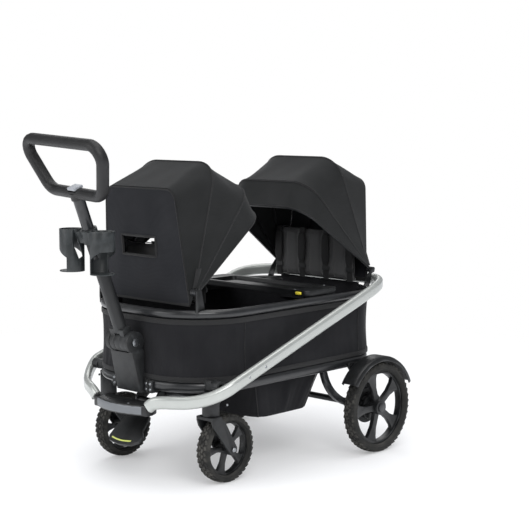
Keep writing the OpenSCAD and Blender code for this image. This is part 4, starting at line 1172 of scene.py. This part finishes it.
def blockPiece(name, size, material, taper=0.06, n=(10, 22)):
    # a pillow block, its sides drawn in between the corners, middle of its underside at the origin
    sx, sy, sz = size
    points, faces = [], []
    for top in (0, 1):
        for i in range(n[0] + 1):
            for j in range(n[1] + 1):
                u, v = 2 * i / n[0] - 1, 2 * j / n[1] - 1
                x = sx / 2 * u * (1 - taper * (1 - v ** 4) * u * u)
                y = sy / 2 * v * (1 - taper * 0.6 * (1 - u ** 4) * v * v)
                rim = max(0.0, (1 - u ** 6)) ** 0.5 * max(0.0, (1 - v ** 8)) ** 0.5
                z = sz * (0.5 + (0.5 if top else -0.5) * (0.55 + 0.45 * rim))
                points.append((x, y, z if top else max(0, z - sz * 0.2 * rim)))
    w = n[1] + 1
    k = (n[0] + 1) * w
    for i in range(n[0]):
        for j in range(n[1]):
            faces.append((k + i * w + j, k + (i + 1) * w + j, k + (i + 1) * w + j + 1, k + i * w + j + 1))
            faces.append((i * w + j, i * w + j + 1, (i + 1) * w + j + 1, (i + 1) * w + j))
    edge = [i * w for i in range(n[0] + 1)] + [n[0] * w + j for j in range(1, w)] + [i * w + n[1]
        for i in range(n[0] - 1, -1, -1)] + [j for j in range(n[1] - 1, 0, -1)]
    for a, b in zip(edge, edge[1:] + edge[:1]):
        faces.append((a, b, b + k, a + k))
    piece = meshPiece(name, [(x / 1000, y / 1000, z / 1000) for x, y, z in points], faces, material)
    return mended(piece, 0.0000001)


def sewn(piece, channels, size, depth, width):
    # channels: lines across the top at fixed y, in millimetres; the cloth sinks towards each
    data = piece.data
    co = np.array([v.co for v in data.vertices]) * 1000
    normals = np.array([v.normal for v in data.vertices])
    up = np.clip((co[:, 2] / size[2] - 0.35) / 0.4, 0, 1)
    sink = np.zeros(len(co))
    inside = np.clip((1 - np.abs(co[:, 0]) / (size[0] / 2)) / 0.12, 0, 1)
    for y in channels:
        sink = np.maximum(sink, depth * np.exp(-np.abs((co[:, 1] - y) / width) ** 1.4) * inside)
    wrinkle = 0.35 * np.sin(co[:, 0] * 0.19 + 2.0 * np.sin(co[:,
        1] * 0.06)) * np.exp(-((sink - depth * 0.5) / (depth * 0.3)) ** 2)
    co -= normals * ((sink + wrinkle) * up)[:, None]
    data.vertices.foreach_set("co", (co / 1000).ravel())
    data.update()
    for polygon in data.polygons:
        polygon.use_smooth = True


def edgePiping(name, piece, height, material, body, size, d=3.4, place=None):
    # a cord round the cushion at one height, following its outline
    co = np.array([v.co for v in piece.data.vertices]) * 1000
    band = co[np.abs(co[:, 2] - height) < 5]
    path = []
    n = 90
    for i in range(n):
        a = 2 * math.pi * i / n
        dx, dy = math.cos(a) * size[0], math.sin(a) * size[1]
        s = math.hypot(dx, dy)
        dx, dy = dx / s, dy / s
        near = np.abs(band[:, 0] * dy - band[:, 1] * dx) < 5
        reach = (band[near, 0] * dx + band[near, 1] * dy)
        r = float(reach.max()) if len(reach) else 1.0
        path.append((dx * (r + 0.5), dy * (r + 0.5)))
    path = [((path[i - 1][0] + path[i][0] + path[(i + 1) % n][0]) / 3,
        (path[i - 1][1] + path[i][1] + path[(i + 1) % n][1]) / 3) for i in range(n)]
    cord = sweep(name, [Vector((x / 1000, y / 1000, height / 1000)) for x, y in path], roundSection(d),
        material, closed=True)
    cord.data.transform(place)
    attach(cord, body)
    return cord


def makeCushion(name, size, channels, cap, voxel, depth, material, place, body, nodes):
    inner = (size[0] - 2 * cap * 0.75, size[1] - 2 * cap * 0.75, size[2] - cap * 0.8)
    piece = blockPiece(name, inner, material)
    puffed(piece, voxel, 4.0, cap / 1000)
    sewn(piece, channels, size, depth, 7)
    cord = edgePiping(name + "Piping", piece, size[2] * 0.5, "bindingTape", body, size, 3.2,
        place)
    piece.data.transform(place)
    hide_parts(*nodes)
    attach(piece, body)
    return piece, cord


for name, x in (("rearSeatCushion", 288), ("frontSeatCushion", -239)):
    makeCushion(name, (167, 400, 63), (-72, 72), 9, 0.005, 5, "seatCloth",
        Matrix.Translation(at(x, 0, 314.6)), bodyOf["seat_cushions"], ("seat_cushions",))
backTurn = Matrix.Rotation(math.radians(-90), 4, "Y")
mirrorTurn = Matrix.Rotation(math.radians(180), 4, "Z") @ backTurn
for name, turn, x, node in (("rearSeatBackPad", backTurn, 402.5, "rear_seat_back"),
    ("frontSeatBackPad", mirrorTurn, -356.5, "front_seat_back")):
    makeCushion(name, (190, 372, 22), (-140, -84, -28, 28, 84, 140), 5, 0.0045, 3.2, "seatCloth",
                Matrix.Translation(at(x, 0, 552 + 96)) @ turn, bodyOf[node], (node,))


skirtSettings = {"places": (("rearSeatSkirt", 405.5), ("frontSeatSkirt", -359.5)), "top": 557, "drop": 85,
    "half": 184, "cell": 8, "rows": 14, "wave": 1.5}


def makeSkirt(s, name, x):
    # the cloth behind a seat back, down from the rim into the tub
    rows = []
    for i in range(s["rows"] + 1):
        t = i / s["rows"]
        z = s["top"] - s["drop"] * t
        ys = range(-s["half"], s["half"] + 1, s["cell"])
        rows.append([at(x + s["wave"] * math.sin(0.06 * y + 0.5 * i) * t, y, z) for y in ys])
    clothSheet(name, rows, "tubCloth", body="top_rim")


for name, x in skirtSettings["places"]:
    makeSkirt(skirtSettings, name, x)
print("stage: cushions done")

# floor mat between the seats, sewn in squares


matSettings = {"start": (-148, -232), "size": (344, 464), "cells": (80, 110), "square": (49, 51.6),
    "low": 314.8, "seam": 1.5, "puff": 5.5}


def makeMat(s):
    (x0, y0), (nx, ny) = s["start"], s["cells"]
    rows = []
    for i in range(nx + 1):
        x = x0 + s["size"][0] * i / nx
        row = []
        for j in range(ny + 1):
            y = y0 + s["size"][1] * j / ny
            edge = min(1.0, min(i, nx - i) / 3, min(j, ny - j) / 3)
            across = abs(math.sin(math.pi * (x - x0) / s["square"][0])) ** 0.35
            along = abs(math.sin(math.pi * (y - y0) / s["square"][1])) ** 0.35
            row.append(at(x, y, s["low"] + (s["seam"] + s["puff"] * across * along) * edge ** 0.6))
        rows.append(row)
    mat = grid("floorMat", rows, "tubCloth")
    solid(mat, 0.0012)
    mended(mat, 0.0000001)
    sharpen(mat.data, 60)
    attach(mat, "chassis")


makeMat(matSettings)
finishNode("floor_panel", "tubCloth", bevel=0)

# harness: webbing with shoulder pads and adjusters


def pillow(name, size, material, power=0.38):
    # a small stuffed or moulded block about the origin
    n, m = 14, 20
    points, faces = [], []
    for i in range(n + 1):
        a = math.pi * (i / n - 0.5)
        for j in range(m):
            b = 2 * math.pi * j / m
            f = lambda v, p: math.copysign(abs(v) ** p, v)
            points.append((size[0] / 2000 * f(math.cos(a), power) * f(math.cos(b), power),
                size[1] / 2000 * f(math.cos(a), power) * f(math.sin(b),
                power), size[2] / 2000 * f(math.sin(a), power)))
    for i in range(n):
        for j in range(m):
            faces.append((i * m + j, i * m + (j + 1) % m, (i + 1) * m + (j + 1) % m, (i + 1) * m + j))
    return mended(meshPiece(name, points, faces, material), 0.00001)


harnessSettings = {"straps": (-166, -56, 56, 166), "padFace": 22, "low": 558, "long": 178, "webbing": (25, 1.8),
    "shoulder": (7.5, 35, 104), "shoulderZ": 666, "clip": (3.4, 33), "clips": ((598, 14), (604, 4))}


def makeHarness(s, side, x, sign, body, node):
    # sign: the way the seat faces along X
    front = lambda d: x + sign * (s["padFace"] + d)
    soft, hard = [], []
    across = Vector((0, 1, 0))
    for y in s["straps"]:
        path = []
        for t in range(17):
            lift = 1.2 + 1.5 * math.sin(math.pi * t / 16) + (2.0 if 3 < t < 14 else 0)
            path.append(at(front(lift), y + 1.5 * math.sin(0.5 * t), s["low"] + s["long"] * t / 16))
        name = "%sWebbing%d" % (side, y)
        soft.append(ribbon(name, path, across, *s["webbing"], "strapWebbing", slotOf[node]))
        shoulder = pillow("%sShoulder%d" % (side, y), s["shoulder"], "strapWebbing", 0.5)
        shoulder.data.transform(Matrix.Translation(at(front(6.2), y, s["shoulderZ"])))
        soft.append(shoulder)
        for z, tall in s["clips"]:
            clip = pillow("%sAdjuster%d%d" % (side, y, z), (*s["clip"], tall), "bracketNylon", 0.3)
            clip.data.transform(Matrix.Translation(at(front(4.0), y, z)))
            hard.append(clip)
    joinPieces(soft[0], soft[1:])
    soft[0].name = side + "HarnessStraps"
    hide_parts(node)
    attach(soft[0], body)
    joinPieces(hard[0], hard[1:])
    hard[0].name = side + "HarnessAdjusters"
    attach(hard[0], body)


makeHarness(harnessSettings, "rear", 402.5, -1, bodyOf["rear_harness"], "rear_harness")
makeHarness(harnessSettings, "front", -356.5, 1, bodyOf["front_harness"], "front_harness")
print("stage: harness done")

# tyre treads: small blocks round each tyre, made by a node tree

treadSettings = {"rear": (0.1525, 0.052, 46, 4), "front": (0.1075, 0.050, 36, 4), "depth": 0.0026}


def treadTree():
    tree = bpy.data.node_groups.new("treadBlocks", "GeometryNodeTree")
    for name, kind in (("Geometry", "NodeSocketGeometry"), ("Size", "NodeSocketVector"),
        ("Finish", "NodeSocketMaterial")):
        tree.interface.new_socket(name=name, in_out="INPUT", socket_type=kind)
    tree.interface.new_socket(name="Geometry", in_out="OUTPUT", socket_type="NodeSocketGeometry")
    nodes, links = tree.nodes, tree.links
    start, end = nodes.new("NodeGroupInput"), nodes.new("NodeGroupOutput")
    block = nodes.new("GeometryNodeMeshCube")
    links.new(start.outputs["Size"], block.inputs["Size"])
    points = nodes.new("GeometryNodeMeshToPoints")
    links.new(start.outputs["Geometry"], points.inputs[0])
    turns = []
    for name, axis in (("blockUp", "Z"), ("blockAside", "X")):
        read = nodes.new("GeometryNodeInputNamedAttribute")
        read.data_type = "FLOAT_VECTOR"
        read.inputs[0].default_value = name
        turn = nodes.new("FunctionNodeAlignRotationToVector")
        turn.axis = axis
        links.new(read.outputs[0], turn.inputs["Vector"])
        turns.append(turn)
    turns[1].pivot_axis = "Z"
    links.new(turns[0].outputs[0], turns[1].inputs["Rotation"])
    copies = nodes.new("GeometryNodeInstanceOnPoints")
    links.new(points.outputs[0], copies.inputs["Points"])
    links.new(block.outputs[0], copies.inputs["Instance"])
    links.new(turns[1].outputs[0], copies.inputs["Rotation"])
    real = nodes.new("GeometryNodeRealizeInstances")
    links.new(copies.outputs[0], real.inputs[0])
    paint = nodes.new("GeometryNodeSetMaterial")
    links.new(real.outputs[0], paint.inputs[0])
    links.new(start.outputs["Finish"], paint.inputs["Material"])
    links.new(paint.outputs[0], end.inputs[0])
    return tree


treadNodes = treadTree()


def makeTread(node, r, width, count, lanes, depth):
    low, high = [Vector(c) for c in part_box(node)]
    cx, cy, cz = (low + high) / 2
    # the tyre itself is lowered under the blocks, so that they reach its full radius
    tyre = bpy.data.objects[node + "Finished"]
    for v in tyre.data.vertices:
        dx, dz = v.co.x - cx, v.co.z - cz
        rho = math.hypot(dx, dz)
        if rho > r - 0.012:
            k = (rho - depth * ((rho - (r - 0.012)) / 0.012) ** 1.2) / rho
            v.co.x, v.co.z = cx + dx * k, cz + dz * k
    mesh = bpy.data.meshes.new(node + "Tread")
    places, ups, asides = [], [], []
    for lane in range(lanes):
        for i in range(count):
            a = 2 * math.pi * (i + 0.5 * (lane % 2)) / count
            y = (lane - (lanes - 1) / 2) * width * 0.205
            edge = abs(y) / (width / 2)
            rr = r - 0.0018 - 0.0062 * edge ** 2.6
            tilt = math.copysign(0.5 * edge ** 2, y)
            up = Vector((math.cos(a) * math.cos(tilt), math.sin(tilt), math.sin(a) * math.cos(tilt)))
            places.append((cx + math.cos(a) * rr, cy + y, cz + math.sin(a) * rr))
            ups.append(up)
            side = 0.35 * (1 if lane % 2 else -1)
            asides.append(Vector((-math.sin(a) * math.cos(side), math.sin(side),
                math.cos(a) * math.cos(side))))
    mesh.from_pydata(places, [], [])
    for name, values in (("blockUp", ups), ("blockAside", asides)):
        layer = mesh.attributes.new(name, "FLOAT_VECTOR", "POINT")
        for i, v in enumerate(values):
            layer.data[i].vector = v
    piece = bpy.data.objects.new(node + "Tread", mesh)
    bpy.context.scene.collection.objects.link(piece)
    mod = piece.modifiers.new("treadBlocks", "NODES")
    mod.node_group = treadNodes
    sockets = {item.name: item.identifier for item in treadNodes.interface.items_tree
        if item.in_out == "INPUT"}
    mod[sockets["Size"]] = (2 * math.pi * r / count * 0.66, width * 0.15, 0.0036)
    mod[sockets["Finish"]] = materials["tyreRubber"]
    applied(piece)
    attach(piece, bodyOf[node])


for end in ("front", "rear"):
    for side in ("left", "right"):
        makeTread("%s_tyre_%s" % (end, side), *treadSettings[end], treadSettings["depth"])
print("stage: treads done")

# small hard details

fittingSettings = {
    "frontAxle": (-313, 107.5), "rearAxle": (313, 152.5), "stem": (-375, 242, 298.2),
    "forkFaces": (282.2, 201.8), "rearFace": 363.2, "frontFace": 270.2,
    "axleHead": (0.0075, 0.003), "stemHead": (0.011, 0.003),
    "rearCap": (0.012, 0.0035), "frontCap": (0.010, 0.002),
    "clamp": (-483.2, (-84.5, -65.5, 65.5, 84.5), (294, 312), 0.0046),
    "bumper": (((-516, 96), (-516, -96), (-540, 48), (-540, -48)), 256.2, 0.0052),
    "housing": (((-330, 250), (-330, 282), (-392, 282)), 269.2, 0.004),
    "fender": ((238, 292, 352), 313.2, 298, 0.004),
    "tray": ((47, 193), (-208, 208), 567.5, 0.0038)}


def makeWheelFittings(s, side, mark):
    # screw heads on the axles, a cap on each stem and each hub
    x, z = s["frontAxle"]
    outer, inner = s["forkFaces"]
    places = [(x, mark * outer, z, (0, mark, 0)), (x, mark * inner, z, (0, -mark, 0))]
    radius, height = s["axleHead"]
    screws("casterAxleHeads" + side.title(), places, "caster_" + side, radius=radius, height=height)
    stemX, stemY, stemZ = s["stem"]
    places = [(stemX, mark * stemY, stemZ, (0, 0, 1))]
    screws("casterStemHead" + side.title(), places, "chassis", "blackPlastic", "plastic_black", *s["stemHead"])
    places = [(s["rearAxle"][0], mark * s["rearFace"], s["rearAxle"][1], (0, mark, 0))]
    screws("rearHubCap" + side.title(), places, bodyOf["rear_rim_" + side], "blackPlastic", "plastic_black",
        *s["rearCap"])
    places = [(x, mark * s["frontFace"], z, (0, mark, 0))]
    screws("frontHubCap" + side.title(), places, bodyOf["front_rim_" + side], "blackPlastic", "plastic_black",
        *s["frontCap"])


def makeFrameScrews(s):
    x, ys, zs, radius = s["clamp"]
    screws("postClampBolts", [(x, y, z, (-1, 0, 0)) for y in ys for z in zs], "chassis", radius=radius)
    spots, z, radius = s["bumper"]
    screws("bumperScrews", [(x, y, z, (0, 0, 1)) for x, y in spots], "side_frame", radius=radius)
    spots, y, radius = s["housing"]
    places = [(x, m * y, z, (0, m, 0)) for m in (-1, 1) for x, z in spots]
    screws("housingScrews", places, "chassis", radius=radius)
    xs, y, z, radius = s["fender"]
    screws("fenderScrews", [(x, m * y, z, (0, m, 0)) for m in (-1, 1) for x in xs], "chassis", radius=radius)
    xs, ys, z, radius = s["tray"]
    screws("trayScrews", [(x, y, z, (0, 0, 1)) for x in xs for y in ys], "top_rim", radius=radius)


for side, mark in (("left", 1), ("right", -1)):
    makeWheelFittings(fittingSettings, side, mark)
makeFrameScrews(fittingSettings)

# the pedal's pale strip and the bumper's grey face

pedalSettings = {"pin": (-416, 238), "slope": 43, "half": 44, "bow": 5, "steps": 16,
    "profile": ((150.6, 0.1), (151.4, 1.7), (154.8, 1.9), (155.8, 0.1))}


def makePedalStrip(s):
    # the pale strip across the toe of the foot brake
    slope = math.radians(s["slope"])
    points, faces = [], []
    n = s["steps"]
    for i in range(n + 1):
        y = s["half"] * (2 * i / n - 1)
        bow = s["bow"] * (1 - (y / s["half"]) ** 2)
        for d, h in s["profile"]:
            x = -(d + bow) * math.cos(slope) - h * math.sin(slope)
            z = -(d + bow) * math.sin(slope) + h * math.cos(slope)
            points.append(at(s["pin"][0] + x, y, s["pin"][1] + z))
    for i in range(n):
        for j in range(4):
            a, b = i * 4 + j, i * 4 + (j + 1) % 4
            faces.append((a, b, b + 4, a + 4))
    faces += [(0, 3, 2, 1), (n * 4, n * 4 + 1, n * 4 + 2, n * 4 + 3)]
    strip = mended(meshPiece("pedalStrip", points, faces, "limePlastic"), 0.00001)
    sharpen(strip.data, 40)
    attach(strip, bodyOf["brake_pedal"])


bumperSettings = {"front": -560.4, "half": 104, "bow": 24, "radius": 105, "steps": 24,
    "profile": ((-1.5, 226), (0.6, 228), (1.4, 232), (1.4, 246), (0.6, 250), (-1.5, 252))}


def makeBumperFace(s):
    # the bowed grey face along the front of the step plate
    rows = []
    for i in range(s["steps"] + 1):
        y = s["half"] * (2 * i / s["steps"] - 1)
        x = s["front"] + s["bow"] * (y / s["radius"]) ** 2
        rows.append([at(x - out, y, z) for out, z in s["profile"]])
    face = grid("bumperFace", rows, "bumperGrey", closedRow=True)
    closeEnds(face, len(s["profile"]), s["steps"])
    mended(face, 0.00001)
    sharpen(face.data, 40)
    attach(face, "side_frame")


makeMaterial("bumperGrey", "hard", "#6A6D70", None, 0.25, 0.0003, Worn="#8A8D90", Grain=1200.0, Wear=0.4,
    Dust=0.03, Rough=0.45)
makePedalStrip(pedalSettings)
makeBumperFace(bumperSettings)
print("stage: details done")
